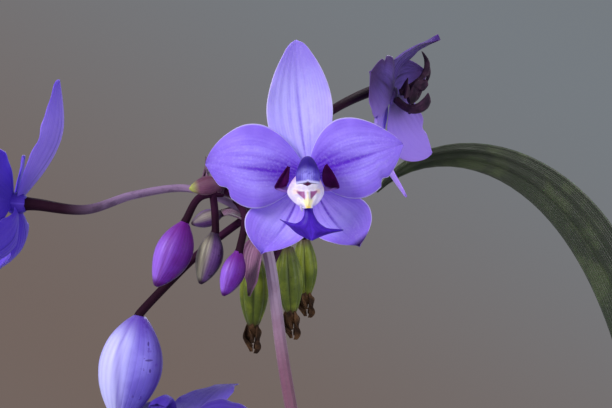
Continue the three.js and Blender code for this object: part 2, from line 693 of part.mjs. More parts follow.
// A capsule has six ribs and ends in its withered flower
function capsule({ radius, ...ends }) {
  const [thin, puffed] = CAPSULE.witheredR;
  const swell = (t, angle, j) => {
    const pod = t / CAPSULE.podShare;
    if (pod < 1) {
      const body = radius * Math.sin(Math.PI * (0.1 + 0.84 * pod)) ** 0.6;
      return Math.max(STALK.flare, body * (j % 2 ? 1.1 : 0.9));
    }
    const rest = (t - CAPSULE.podShare) / (1 - CAPSULE.podShare);
    return lerp(thin, puffed, Math.sin(Math.PI * rest)) * (j % 2 ? 1.2 : 0.7);
  };
  return hanging(ends, swell, 12, 7);
}

// Assembly
place("pot", pot(), clay);
place("soil", soil(), barkMix);
BULBS.forEach((where, i) => place(`pseudobulb_${i + 1}`, bulb(where), bulbSkin));
LEAVES.forEach((shape, i) => place(`leaf_${i + 1}`, leaf(shape), leafGreen));
for (const name of Object.keys(STEMS)) place(`flower_stem_${name}`, flowerStem(name), stemPlum);
BLOOMS.forEach(bloom);
for (const shape of BUDS) place(`bud_${shape.name}`, bud(shape), budViolet);
for (const shape of CAPSULES) place(`capsule_${shape.name}`, capsule(shape), capsuleGreen);

export default plant;
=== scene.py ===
"""A potted Philippine ground orchid, dressed for a close portrait of its open bloom.

Lengths are in millimetres until a mesh is made. Each flower part is drawn in its bloom's own frame,
with x to the right, y up and z towards whoever looks into the flower.
"""
import math

import bpy
import numpy as np
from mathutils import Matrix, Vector, noise


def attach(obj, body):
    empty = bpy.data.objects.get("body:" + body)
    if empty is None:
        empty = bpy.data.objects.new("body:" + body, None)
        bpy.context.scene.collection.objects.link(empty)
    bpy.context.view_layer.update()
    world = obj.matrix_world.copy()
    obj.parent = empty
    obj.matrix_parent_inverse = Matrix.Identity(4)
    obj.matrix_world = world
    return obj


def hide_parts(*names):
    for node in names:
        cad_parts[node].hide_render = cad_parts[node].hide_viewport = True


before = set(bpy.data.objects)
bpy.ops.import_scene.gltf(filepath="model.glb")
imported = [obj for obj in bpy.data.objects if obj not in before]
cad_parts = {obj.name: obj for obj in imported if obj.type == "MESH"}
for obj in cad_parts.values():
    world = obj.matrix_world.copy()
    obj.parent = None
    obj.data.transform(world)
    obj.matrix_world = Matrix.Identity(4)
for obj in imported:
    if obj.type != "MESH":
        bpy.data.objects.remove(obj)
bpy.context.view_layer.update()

MM = 0.001
UP = np.array([0.0, 0.0, 1.0])


def rows(keys, table):
    """Named rows of a table, each as a dict under the table's keys."""
    return {name: dict(zip(keys.split(), values)) for name, values in table.items()}


# Sizes and places, as the solids have them
POT = {"height": 170, "base_r": 64, "top_r": 92, "wall": 9, "floor": 10, "drain_r": 12}
RIM = {"radius": 99, "height": 30, "bevel": 3}
SOIL_TOP = 148
BULB = {"radius": 15, "foot": -18, "shoulder": 21, "neck_r": 6, "neck_top": 36}
BULB_SCARS = 9
BULBS = [(-20, -2), (24.2, 23.6), (18, -24), (-23, 33)]
LEAF_STALK = {"half": 4, "share": 0.24, "thick": 2, "clearance": 0.6}
LEAF = {"fold": 0.16, "pleat": 1.3, "pleats": 3}
# Azimuth and rise: the leaf's heading at its foot and at its tip, and how late it changes
LEAVES = rows("bulb length half azimuth rise roll", {
    1: (0, 425, 22, (188, 206, 0.8), (81, -38, 2.3), 14),
    2: (0, 365, 20, (272, 244, 0.8), (80, -42, 1.9), -10),
    3: (1, 495, 21, (37, 180.3, 1.72), (83.3, -55.1, 10.5), 42),
    4: (1, 455, 23, (130, 86, 0.9), (82, -24, 2.5), 12),
    5: (1, 415, 21, (314, 358, 0.6), (78, -48, 1.8), 10),
    6: (2, 430, 23, (330, 312, 0.8), (79, -34, 2.1), -8),
    7: (2, 395, 21, (248, 292, 0.7), (79, -46, 1.9), 12),
    8: (3, 450, 22, (168, 160, 1), (80, -40, 2.1), -14),
    9: (3, 415, 22, (84, 116, 0.9), (80, -36, 2.2), 10),
})
# Leaf 3 arches through the photo: how it twists, the way it faces, how shaded and how full it is
LEAVES[3].update(late=4, level=6, facing=4, dark=1.0, full=0.75)
STEM = {"root_r": 2.4, "top_r": 0.95, "taper": 0.6}
STEMS = {
    "tall": [(1, 5, 128), (-3, 5, 250), (-13, 4, 370), (-33, 2, 480), (-48.2, 0, 555.8),
             (-53.3, 0, 589.5), (-58.5, -2, 600.6), (-68, -3, 604)],
    "short": [(-45, 10, 128), (-48, 12, 250), (-55, 15, 370), (-66, 17, 462), (-72, 17, 512),
              (-77, 15, 527), (-84, 12, 531)],
}
SHEATH = {"swell": 1.1, "share": 0.055, "tall": (0.16, 0.33, 0.49), "short": (0.2, 0.42)}
STALK = {"lead": 3, "bud_lead": 1.2, "bloom_r": (0.8, 1.45), "bud_r": 0.8, "flare": 1.15}
HUB = {"radius": 2.4, "back": -3, "front": 0.8}
GAP = 0.3

# How a bloom's tepals are held: how far each one's tip leans back from flat, in the order of TEPALS, and
# last how far the dorsal one bends back below its tip
FLAT = (0, 0, 0, 0, 0, 0)
SWEPT = (6, -7, -7, -8, -8, 4)
HALF_SHUT = (-13, -10.4, -0.2, -3, -10, 0)
REFLEXED = (12, 2, 2, 5, 5, 0)
BLOOMS = rows("look at faces roll size held stalk", {
    "front": ("fresh", (-44.7, -33, 605.7), (0, -1, 0), 0, 1, FLAT,
              [(-55.2, 0, 592), (-53, -9, 599.5), (-47, -19, 605)]),
    "left": ("deep", (-107.6, -5, 600.2), (-0.97, 0.22, 0.06), 0, 0.98, SWEPT,
             [(-57.5, -1.5, 598.5), (-70, 4, 603.3), (-82, 1, 602), (-92, -6, 598.8)]),
    "rear": ("spent", (-25.4, 27, 624.6), (0.92, -0.32, -0.22), 147, 0.86, HALF_SHUT,
             [(-54.5, 0, 594.5), (-48.5, 4, 611), (-40.4, 9, 619.8)]),
    "low": ("shadow", (-73.1, -6, 551), (-0.3, -0.57, 0.77), 0, 0.96, REFLEXED,
            [(-72.2, 17, 515), (-71, 10, 525), (-70, 3, 537)]),
    "back": ("fresh", (-84, 44, 525), (-0.2, 0.96, 0.16), 0, 0.98, FLAT,
             [(-70.8, 17, 503), (-74, 24, 515), (-82, 34, 523)]),
})
# How much blunter the tepals of one look are at their tips
BLUNT = {"shadow": 0.6}
BUDS = rows("look radius stalk_r start end stalk", {
    "large": ("blue", 6.7, 0.85, (-80.9, 1, 575.9), (-85.3, 1, 552.5),
              [(-57.3, -1, 597.5), (-62.8, 3.5, 593.6), (-68.9, 4.5, 588.7), (-74.8, 3, 582.9)]),
    "violet": ("magenta", 3.9, 0.8, (-70.8, -6, 596.2), (-77, -6.5, 582.4),
               [(-63.1, -2.6, 602.5), (-67.9, -5, 601.3)]),
    "small": ("magenta", 2.5, 0.8, (-59.3, -7, 590), (-62.6, -7, 580.4),
              [(-59.8, -2.5, 600.8), (-58, -6, 597)]),
    "pale": ("dusky", 2.8, 0.8, (-64.6, -3.6, 594), (-67.6, -3.4, 582.8),
             [(-65.2, -2.9, 603), (-64.6, -4.5, 599)]),
    "tip": ("pale", 2, 0.8, (-62.6, -8, 604.6), (-69.8, -9.2, 603.2),
            [(-62, -2.8, 602.6), (-59.4, -6, 605.2)]),
    "inner": ("dusky", 1.9, 0.7, (-63.4, 8.6, 598), (-70.2, 9, 595.6),
              [(-57, -1.2, 598), (-58.5, 6, 599.5)]),
    "low_large": ("blue", 5.2, 1.15, (-85.5, -4, 520), (-88.5, -6.5, 500.5),
                  [(-75, 15.6, 524), (-80, 5, 528)]),
    "low_left": ("magenta", 3.6, 0.95, (-93, 14.5, 522), (-96.5, 15, 506.5),
                 [(-79, 14.2, 529), (-87, 14, 530)]),
    "low_back": ("pale", 2.7, 0.9, (-86.5, 22, 526), (-89, 23.5, 514.5),
                 [(-81, 13.2, 530.4), (-83.5, 19, 531.5)]),
})
# How far the middle of the large bud bows to the right
BUDS["large"]["bulge"] = -0.8
POD_SHARE = 0.74
CAPSULES = rows("radius start end stalk", {
    "left": (2.9, (-56.6, 27, 588), (-57.2, 29.5, 566), [(-53.6, 0, 590.5), (-57, 15, 594)]),
    "middle": (2.7, (-49.3, 20, 590.5), (-48, 22, 569.5), [(-53.3, 0.2, 588.4), (-50, 12, 594.5)]),
    "right": (2.5, (-45.5, 30, 592), (-44.8, 32.5, 574), [(-53, 0.3, 586.4), (-47, 16, 597)]),
    "low": (2.9, (-53.5, 29, 494), (-52.5, 31, 471), [(-69.4, 17, 493), (-58, 24, 500)]),
})
BRACT = {"thick": 0.5, "half": 0.3, "droop": 0.18, "cup": 0.16}
# Each bract: its stem, where on it, the way it points and its length
BRACTS = [
    ("tall", 0.985, (-0.1, 0.2, 0.97), 4), ("tall", 0.955, (-0.4, 0.5, 0.9), 9),
    ("tall", 0.93, (0.2, -0.35, 1), 9), ("tall", 0.86, (0.75, 0.35, 0.6), 10),
    ("tall", 0.775, (-0.75, 0.45, 0.35), 11), ("tall", 0.74, (-0.3, -0.35, -0.9), 12),
    ("short", 0.98, (-0.8, 0.2, 0.75), 8), ("short", 0.9, (0.25, 0.5, 1), 9),
    ("short", 0.78, (0.8, -0.2, 0.4), 11),
]

# Tepals: base, tip, sideways bow; for each edge its greatest half width, where that lies and how full the
# edge is; depths of the mid line at base, middle and tip; how much the edges lift; how far the tip is
# pinched, and how dark and how blunt it is; and nicks as (edge, share, depth, length)
TEPAL = {"thick": 0.75, "claw_half": 1.5, "tip_half": 0.28, "wave": 0.22}
TEPALS = rows("base tip bow left right depths cup pinch dark_tip blunt nicks", {
    "dorsal": ((0.2, 0.8), (-2.36, 27.5), 0.7, (6.7, 0.43, 0.65), (6.9, 0.5, 0.65), (-1, -3, 0.5),
               1.5, 0.2, 0.0, 0.12, []),
    "left_petal": ((-0.3, 0.2), (-20.7, 2.5), 0, (8.0, 0.5, 0.85), (9.2, 0.54, 0.6), (0.2, 0.6, -1.2),
                   -0.9, 0.4, 0.1, 0.0, [(0, 0.755, 1.3, 0.035)]),
    "right_petal": ((0.5, 0.5), (19.4, 6.4), 0, (8.86, 0.45, 0.75), (8.0, 0.47, 0.8), (0.2, 0.6, -1.2),
                    -0.9, 0.4, 0.1, 0.0, [(1, 0.69, 1.1, 0.03)]),
    "left_sepal": ((-1, -1.4), (-9.4, -15.8), 1.2, (4.8, 0.5, 0.9), (7.7, 0.65, 0.65), (-1, -3, -0.5),
                   0.8, 1.3, 0.15, 0.0, []),
    "right_sepal": ((1, -1.4), (10.6, -14.3), -1.2, (7.5, 0.63, 0.65), (4.8, 0.5, 0.9), (-1, -3, -0.5),
                    0.8, 1.2, 1.0, 0.0, []),
})

# The lip, its callus and its side lobes, as rows from one end to the other: the left edge, the middle and
# the right edge of each skin, or the outer and inner edge of each lobe
LIP = (
    [(-1.2, -1.5, 1.5), (-1.0, -4, 3.7), (-0.6, -6.5, 5.0), (-0.52, -7.4, 5.4), (-0.85, -8.5, 5.7),
     (-1.62, -9.3, 5.9), (-2.7, -9.62, 5.9), (-4.2, -9.3, 5.7), (-5.65, -8.75, 5.4), (-4.0, -9.95, 5.5),
     (-2.6, -11.2, 5.6), (-0.9, -12.15, 5.6), (0.7, -12.82, 5.5)],
    [(0, -1.4, 1.7), (0.12, -4, 3.9), (0.2, -6.5, 5.3), (0.27, -7.4, 5.8), (0.35, -8.4, 6.3),
     (0.42, -9.2, 6.7), (0.48, -9.9, 6.9), (0.54, -10.4, 6.9), (0.6, -10.85, 6.8), (0.68, -11.35, 6.5),
     (0.75, -11.9, 6.1), (0.8, -12.4, 5.8), (0.84, -12.86, 5.5)],
    [(1.2, -1.5, 1.5), (1.2, -4, 3.7), (1.0, -6.5, 5.0), (1.08, -7.4, 5.4), (1.55, -8.4, 5.7),
     (2.1, -9.2, 5.9), (3.0, -9.95, 5.9), (4.4, -10.62, 5.7), (7.2, -10.87, 5.3), (5.6, -11.17, 5.4),
     (4.0, -11.57, 5.5), (2.3, -12.27, 5.6), (1.0, -12.82, 5.5)],
)
LOBES = (
    ([(-3.9, 1.9, 5.3), (-4.7, 1.05, 5.2), (-5.65, -0.3, 5), (-6.3, -1.45, 4.7), (-6.65, -2.35, 4.5),
      (-5.95, -2.8, 4.3), (-3.8, -3.3, 3.6), (-1.3, -2.4, 2.6)],
     [(-3.8, 1.75, 5.3), (-3.65, 0.65, 5.4), (-3.65, -0.35, 5.3), (-3.75, -1.15, 5), (-4.05, -1.85, 4.6),
      (-4.25, -2.35, 4.2), (-2.8, -2.35, 3.5), (-0.9, -1.6, 2.6)]),
    ([(3.75, 2.25, 5.3), (4.75, 1.3, 5.2), (5.7, -0.2, 5), (6.2, -1.3, 4.7), (6.45, -2.4, 4.5),
      (5.5, -2.65, 4.3), (3.7, -3.0, 3.6), (1.3, -2.4, 2.6)],
     [(3.6, 2.05, 5.3), (3.0, 0.9, 5.4), (2.9, -0.4, 5.3), (3.0, -1.1, 5), (3.3, -1.8, 4.6),
      (3.6, -2.3, 4.2), (2.7, -2.2, 3.5), (0.9, -1.6, 2.6)]),
)
CALLUS = (
    [(-2.1, 0.2, 4.6), (-3.0, -0.8, 5), (-3.75, -2.1, 5.3), (-4.1, -3.3, 5.6), (-3.7, -4.35, 5.9),
     (-2.6, -5.5, 6.2), (-1.35, -6.3, 6.6), (-0.6, -6.55, 6.9)],
    [(-0.05, 0.2, 4.6), (-0.05, -0.8, 5), (-0.05, -2, 5.6), (0, -3.05, 6.3), (0.05, -4.05, 6.8),
     (0.1, -5.05, 7.1), (0.15, -5.85, 7.2), (0.2, -6.5, 7.2)],
    [(2.0, 0.2, 4.6), (2.6, -0.8, 5), (3.15, -2.1, 5.3), (3.35, -3.1, 5.6), (3.2, -4.05, 5.9),
     (2.35, -5.3, 6.2), (1.2, -6.25, 6.6), (0.85, -6.55, 6.9)],
)
# The hooked tooth below the callus
TOOTH = [(-1.1, -5.8, 6.4), (-1.15, -6.5, 6.3), (-1.02, -7.3, 6)]
# The column: its spine, half its width and half its depth at each point of the spine
COLUMN = {
    "spine": [(0, 1, 1.55), (0, 2.3, 4), (0.02, 2.8, 6.4), (0.05, 1.95, 8.3), (0.08, 0.2, 9.45),
              (0.08, -1.55, 9.8)],
    "halves": [(1.1, 1), (1.15, 1), (1.3, 1.1), (1.85, 1.15), (2.4, 0.9), (2.3, 0.55)],
}
# Rings that close the hood's mouth: their size, and how far each lies up inside it
MOUTH = ((0.93, 0.0), (0.84, 0.15), (0.7, 0.5), (0.45, 0.9), (0.15, 1.0))


# Curves and profiles

def through(points):
    """A smooth curve through points, read by a share of the way from 0 to 1."""
    p = np.array(points, float)
    ext = np.vstack([2 * p[0] - p[1], p, 2 * p[-1] - p[-2]])

    def at(t):
        x = np.clip(np.asarray(t, float), 0, 1) * (len(p) - 1)
        i = np.minimum(x.astype(int), len(p) - 2)
        w = (x - i)[..., None]
        a, b, c, d = (ext[i + k] for k in range(4))
        leave, arrive = (c - a) / 2, (d - b) / 2
        square, cube = 3 * (c - b) - 2 * leave - arrive, 2 * (b - c) + leave + arrive
        return b + leave * w + square * w**2 + cube * w**3

    return at


def smoothstep(x, low=0.0, high=1.0):
    w = np.clip((np.asarray(x, float) - low) / (high - low), 0, 1)
    return w * w * (3 - 2 * w)


def bell(*gaps):
    """1 where all gaps are 0, falling off smoothly over a gap of about 1."""
    return np.exp(-sum(gap**2 for gap in gaps))


def arch(t):
    """0 at both ends of the way from 0 to 1, and 1 in its middle."""
    return np.sin(math.pi * t)


def column(values):
    """A row of values as a column, to go with a lattice whose rows they belong to."""
    return values[:, None]


def stops(pairs):
    """A value read from (share, value) stops, with a smooth curve between them."""
    shares, values = np.array(pairs, float).T

    def at(t):
        i = np.clip(np.searchsorted(shares, t) - 1, 0, len(shares) - 2)
        return values[i] + (values[i + 1] - values[i]) * smoothstep(t, shares[i], shares[i + 1])

    return at


def unit(vectors):
    vectors = np.asarray(vectors, float)
    return vectors / np.linalg.norm(vectors, axis=-1, keepdims=True)


def headings(points):
    """The direction of travel at each of a row of points."""
    return unit(np.gradient(np.asarray(points, float), axis=0))


def rounded(profile, cut):
    """A profile whose inner corners are turned by short curves that start `cut` before them."""
    p = np.array(profile, float)
    out = [p[0]]
    for before, corner, after in zip(p, p[1:], p[2:]):
        a, b = (corner + (end - corner) * min(0.45, cut / np.linalg.norm(end - corner))
                for end in (before, after))
        for w in np.linspace(0, 1, 5):
            out.append((1 - w) ** 2 * a + 2 * w * (1 - w) * corner + w * w * b)
    return np.array(out + [p[-1]])


def spread(profile, step):
    """A profile with points added so that none lie further apart than step."""
    out = [profile[0]]
    for a, b in zip(profile, profile[1:]):
        count = max(1, math.ceil(np.linalg.norm(b - a) / step))
        out += [a + (b - a) * k / count for k in range(1, count + 1)]
    return np.array(out)


def rough(points, scale, seed=0.0):
    """Smooth noise from -1 to 1 at each point, with lumps about 1/scale mm across."""
    flat = points.reshape(-1, 3) * scale + seed
    return np.array([noise.noise(Vector(p)) for p in flat]).reshape(points.shape[:-1])


def angles_round(sides):
    return np.linspace(0, math.tau, sides, endpoint=False)


def around(sides):
    """The map's places round a piece, from 0 to 1 with both ends."""
    return np.linspace(0, 1, sides + 1)


def lattice(along, across):
    """Places along a blade from 0 to 1, places across it from -1 to 1 that crowd near its rims, and the
    lattice of both."""
    t, x = np.linspace(0, 1, along), np.linspace(-1, 1, across)
    s = 0.55 * x + 0.45 * np.sin(x * math.pi / 2)
    return t, s, *np.meshgrid(t, s, indexing="ij")


# Meshes

def link(name, data):
    thing = bpy.data.objects.new(name, data)
    bpy.context.scene.collection.objects.link(thing)
    return thing


def bare_mesh(name, points, edges, faces):
    """A mesh from points in millimetres."""
    mesh = bpy.data.meshes.new(name)
    mesh.from_pydata((np.asarray(points) * MM).tolist(), edges, faces)
    return mesh


def add_piece(name, mesh, slot, *nodes):
    """Puts a finished mesh in the scene, on the plant's one body, in place of the CAD nodes named."""
    piece = link(name, mesh)
    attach(piece, "root")
    if nodes:
        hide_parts(*nodes)


class Shell:
    """Closed surfaces gathered into one piece."""

    def __init__(self):
        self.points, self.faces, self.uvs = [], [], []
        self.marks = {}
        self.count = 0

    def loft(self, rings, u, v, wrap=False, **marks):
        """A closed surface through rings of points; u has one value more than a ring has points.

        With wrap the last ring joins the first, otherwise a pole closes each end. Each mark is a value
        for every point of every ring, kept as an attribute that the materials read.
        """
        rings = np.array(rings, float)
        count, sides = rings.shape[:2]
        i, j = np.meshgrid(np.arange(count if wrap else count - 1), np.arange(sides), indexing="ij")
        i, j = i.ravel(), j.ravel()
        i2, j2 = (i + 1) % count, (j + 1) % sides
        quads = np.stack([i * sides + j, i * sides + j2, i2 * sides + j2, i2 * sides + j], 1)
        v = np.broadcast_to(np.asarray(v, float), (count + 1 if wrap else count,))
        corners = ((j, i), (j + 1, i), (j + 1, i + 1), (j, i + 1))
        quad_uv = np.stack([np.stack([u[a], v[b]], 1) for a, b in corners], 1)
        points = rings.reshape(-1, 3)
        faces, uvs = quads.tolist(), quad_uv.tolist()
        if not wrap:
            points = np.vstack([points, rings[0].mean(0), rings[-1].mean(0)])
            for pole, ring, way in ((count * sides, 0, -1), (count * sides + 1, count - 1, 1)):
                for a in range(sides):
                    pair = [(a, u[a]), ((a + 1) % sides, u[a + 1])][::way]
                    faces.append([pole, *(ring * sides + k for k, _ in pair)])
                    uvs.append([((u[a] + u[a + 1]) / 2, v[ring]), *((x, v[ring]) for _, x in pair)])
        a, b, c, d = (points[quads[:, k]] for k in range(4))
        volume = (a * np.cross(b, c)).sum() + (a * np.cross(c, d)).sum()
        if volume < 0:
            faces, uvs = [f[::-1] for f in faces], [c[::-1] for c in uvs]
        self.faces += [[k + self.count for k in f] for f in faces]
        self.uvs += [c for face in uvs for c in face]
        for label, value in marks.items():
            value = np.broadcast_to(np.asarray(value, float), (count, sides))
            poles = [] if wrap else [value[0].mean(), value[-1].mean()]
            self.marks.setdefault(label, []).append(np.concatenate([value.ravel(), poles]))
        self.points.append(points)
        self.count += len(points)

    def skin(self, sheet, t, carry=np.asarray, **marks):
        """Lofts a thin skin, as blade_rings or spanned_rings give it."""
        rings, u, below = sheet
        self.loft(carry(rings), u, t, below=below, **marks)

    def tube(self, line, radii, t, **marks):
        """Lofts a tube round a line."""
        self.loft(tube_rings(line, radii), around(radii.shape[1]), t, **marks)

    def finish(self, name, material, slot, *nodes):
        """Makes the mesh and adds it as a piece."""
        mesh = bare_mesh(name, np.vstack(self.points), [], self.faces)
        mesh.uv_layers.new(name="UVMap").data.foreach_set("uv", np.array(self.uvs, np.float32).ravel())
        for label, parts in self.marks.items():
            layer = mesh.attributes.new(label, "FLOAT", "POINT")
            layer.data.foreach_set("value", np.concatenate(parts).astype(np.float32))
        mesh.polygons.foreach_set("use_smooth", np.ones(len(mesh.polygons), bool))
        mesh.materials.append(material)
        add_piece(name, mesh, slot, *nodes)


def ring_frames(points):
    """Two directions square to a path at each of its points, carried along without twist."""
    ahead = headings(points)
    across = np.zeros_like(ahead)
    side = np.array([0.0, 1, 0]) if abs(ahead[0][0]) > 0.9 else np.array([1.0, 0, 0])
    for i, direction in enumerate(ahead):
        side = unit(side - side.dot(direction) * direction)
        across[i] = side
    return across, np.cross(ahead, across)


def tube_rings(points, radii):
    """Rings round a path; radii holds one value for each point and corner."""
    across, up = ring_frames(points)
    angles = angles_round(radii.shape[1])
    out = across[:, None] * np.cos(angles)[None, :, None] + up[:, None] * np.sin(angles)[None, :, None]
    return points[:, None] + out * radii[:, :, None]


def both_sides(middle, normal, thick, s):
    """Rings of a thin skin with a rounded rim: its front from edge to edge, then its back."""
    depth = thick / 2 * np.sqrt(np.clip(1 - np.abs(s[None]) ** 8, 0, 1))
    front, back = (middle + way * normal * depth[..., None] for way in (1, -1))
    rings = np.concatenate([front, back[:, -2:0:-1]], 1)
    u = (np.concatenate([s, s[-2:0:-1], s[:1]]) + 1) / 2
    below = np.concatenate([np.zeros(len(s)), np.ones(len(s) - 2)])
    return rings, u, below[None]


def blade_rings(points, side, halves, lift, thick, s):
    """Rings of a blade about a mid line, with its half widths to the left and right."""
    normal = unit(np.cross(side, headings(points)))[:, None]
    width = np.where(s[None] < 0, column(halves[0]), column(halves[1])) * s[None]
    middle = points[:, None] + side[:, None] * width[..., None] + normal * lift[..., None]
    return both_sides(middle, normal, thick, s)


def spanned_rings(left, middle, right, t, s, lift, thick):
    """Rings of a skin whose rows run from a left edge over a mid line to a right edge."""
    a, b, c = (through(line)(t)[:, None] for line in (left, middle, right))
    across = s[None, :, None]
    surface = b + (c - a) / 2 * across + ((a + c) / 2 - b) * across**2
    normal = unit(np.cross(np.gradient(surface, axis=1), np.gradient(surface, axis=0)))
    return both_sides(surface + normal * lift[..., None], normal, thick, s)


# Node trees

class Graph:
    """Short calls that add nodes to a tree and hand back their output sockets."""

    def __init__(self, tree):
        self.tree = tree

    def node(self, kind, values=None, **settings):
        node = self.tree.nodes.new(kind)
        for key, value in settings.items():
            setattr(node, key, value)
        for key, value in (values or {}).items():
            self.feed(node.inputs[key], value)
        return node

    def out(self, kind, values=None, **settings):
        return self.node(kind, values, **settings).outputs[0]

    def feed(self, socket, value):
        if isinstance(value, bpy.types.NodeSocket):
            self.tree.links.new(value, socket)
        else:
            socket.default_value = value

    def math(self, operation, *values):
        return self.out("ShaderNodeMath", dict(enumerate(values)), operation=operation)

    def vector(self, operation, *values):
        return self.out("ShaderNodeVectorMath", dict(enumerate(values)), operation=operation)

    def both(self, *masks):
        """Masks multiplied together."""
        out = masks[0]
        for mask in masks[1:]:
            out = self.math("MULTIPLY", out, mask)
        return out

    def gap(self, a, b):
        """How far apart two values are."""
        return self.math("ABSOLUTE", self.math("SUBTRACT", a, b))

    def range(self, value, low, high, to_low=0.0, to_high=1.0):
        """A value brought from low..high to to_low..to_high with soft ends."""
        values = {"Value": value, "From Min": low, "From Max": high, "To Min": to_low, "To Max": to_high}
        return self.out("ShaderNodeMapRange", values, interpolation_type="SMOOTHSTEP")

    def fall(self, value, low, high):
        """1 below low and 0 above high."""
        return self.range(value, low, high, 1.0, 0.0)

    def pick(self, mask, without, within):
        """One value where a mask is 0, and another where it is 1."""
        return self.range(mask, 0.0, 1.0, without, within)

    def mix(self, share, a, b):
        node = self.node("ShaderNodeMix", data_type="RGBA")
        for key, value in ((0, share), (6, a), (7, b)):
            self.feed(node.inputs[key], value)
        return node.outputs[2]

    def noise(self, vector, scale, detail, roughness=0.5):
        values = {"Vector": vector, "Scale": scale, "Detail": detail, "Roughness": roughness}
        return self.out("ShaderNodeTexNoise", values)


def make_group(name, output, build, **inputs):
    """A shader node group with one output; each input's default is a number or a 3-vector."""
    tree = bpy.data.node_groups.new(name, "ShaderNodeTree")
    for label, default in inputs.items():
        kind = "NodeSocketFloat" if isinstance(default, float) else "NodeSocketVector"
        tree.interface.new_socket(label, in_out="INPUT", socket_type=kind).default_value = default
    tree.interface.new_socket(output, in_out="OUTPUT", socket_type="NodeSocketFloat")
    start, end = tree.nodes.new("NodeGroupInput"), tree.nodes.new("NodeGroupOutput")
    tree.links.new(build(Graph(tree), start.outputs), end.inputs[output])
    return tree


def build_veins(g, ins):
    """Lines that run along a blade from base to tip, one of them in the middle."""
    sway = g.both(g.math("SUBTRACT", g.noise(ins["Vector"], 60.0, 1.0), 0.5), ins["Sway"])
    place = g.both(g.math("ADD", g.math("SUBTRACT", ins["Across"], 0.5), sway), ins["Count"])
    saw = g.gap(g.math("FRACT", g.math("ADD", place, 100.0)), 0.5)
    return g.math("POWER", g.both(saw, 2.0), ins["Sharpness"])


def build_mottle(g, ins):
    """Soft blotches between a low and a high threshold, with fine grain in them."""
    return g.range(g.noise(ins["Vector"], ins["Scale"], 4.0, 0.6), ins["Low"], ins["High"])


def build_grain(g, ins):
    """The fine pebbled relief of plant skin, clay or bark."""
    values = {"Vector": ins["Vector"], "Scale": ins["Scale"]}
    cells = g.node("ShaderNodeTexVoronoi", values, feature="SMOOTH_F1").outputs["Distance"]
    fine = g.noise(ins["Vector"], g.both(ins["Scale"], 0.35), 5.0, 0.65)
    return g.math("ADD", g.both(cells, ins["Cells"]), fine)


def build_rim(g, ins):
    """1 at both rims of a blade and 0 inside, over a given width."""
    return g.range(g.both(g.gap(ins["Across"], 0.5), 2.0), g.math("SUBTRACT", 1.0, ins["Width"]), 1.0)


ORIGIN = (0.0, 0.0, 0.0)
VEINS = make_group("parallel_veins", "Lines", build_veins,
                   Vector=ORIGIN, Across=0.5, Count=8.0, Sharpness=6.0, Sway=0.02)
MOTTLE = make_group("soft_blotches", "Mask", build_mottle, Vector=ORIGIN, Scale=50.0, Low=0.45, High=0.6)
GRAIN = make_group("pebbled_skin", "Height", build_grain, Vector=ORIGIN, Scale=2000.0, Cells=0.6)
RIM_LINE = make_group("blade_rim", "Mask", build_rim, Across=0.5, Width=0.06)


def tone(code):
    """A colour from its hex code, in the linear values that the shaders take."""
    values = [int(code[k:k + 2], 16) / 255 for k in (1, 3, 5)]
    return (*(c / 12.92 if c <= 0.04045 else ((c + 0.055) / 1.055) ** 2.4 for c in values), 1.0)


class Finish(Graph):
    """A material with its Principled shader, the coordinates that its patterns follow, and its colour."""

    def __init__(self, name, roughness, specular, subsurface=0.0, sheen=0.0):
        self.material = bpy.data.materials.new(name)
        self.material.use_nodes = True
        super().__init__(self.material.node_tree)
        self.shader = self.tree.nodes["Principled BSDF"].inputs
        self.shader["Roughness"].default_value = roughness
        self.shader["Specular IOR Level"].default_value = specular
        self.shader["Subsurface Weight"].default_value = subsurface
        self.shader["Subsurface Radius"].default_value = (1.0, 0.7, 1.0)
        self.shader["Subsurface Scale"].default_value = 0.6 * MM
        self.shader["Sheen Weight"].default_value = sheen
        uv = self.out("ShaderNodeUVMap", uv_map="UVMap")
        self.across, self.along = self.node("ShaderNodeSeparateXYZ", {0: uv}).outputs[:2]
        self.place = self.node("ShaderNodeTexCoord").outputs["Object"]

    def spot(self):
        """The x, y and z of the place, in metres."""
        return self.node("ShaderNodeSeparateXYZ", {0: self.place}).outputs

    def mark(self, label):
        return self.node("ShaderNodeAttribute", attribute_name=label).outputs["Fac"]

    def group(self, tree, **values):
        return self.out("ShaderNodeGroup", values, node_tree=tree)

    def veins(self, count, sharpness, sway=0.02):
        return self.group(VEINS, Vector=self.place, Across=self.across, Count=float(count),
                          Sharpness=float(sharpness), Sway=sway)

    def mottle(self, scale, low, high):
        return self.group(MOTTLE, Vector=self.place, Scale=float(scale), Low=low, High=high)

    def grain(self, scale, cells=0.6):
        return self.group(GRAIN, Vector=self.place, Scale=float(scale), Cells=cells)

    def rim(self, width):
        return self.group(RIM_LINE, Across=self.across, Width=width)

    def off_middle(self):
        """0 on a blade's mid line and 1 at its rims."""
        return self.both(self.gap(self.across, 0.5), 2.0)

    def after(self, low, high, start=0.0, end=1.0):
        """A mask that changes from start to end along the piece, between the shares low and high."""
        return self.range(self.along, low, high, start, end)

    def before(self, low, high):
        """A mask that goes out along the piece, between the shares low and high."""
        return self.after(low, high, 1.0, 0.0)

    def base(self, low, high, mask):
        """Starts the colour with two tones."""
        self.color = self.mix(mask, tone(low), tone(high))

    def paint(self, color, *masks):
        """Lays a colour over what is there, as strongly as its masks multiplied."""
        color = tone(color) if isinstance(color, str) else color
        self.color = self.mix(self.both(*masks), self.color, color)

    def done(self, height=None, depth_mm=0.0, roughness=None):
        self.feed(self.shader["Base Color"], self.color)
        if height is not None:
            bump = self.out("ShaderNodeBump", {"Height": height, "Distance": depth_mm * MM, "Strength": 1.0})
            self.feed(self.shader["Normal"], bump)
        if roughness is not None:
            self.feed(self.shader["Roughness"], roughness)
        return self.material


# Finishes of the flowers

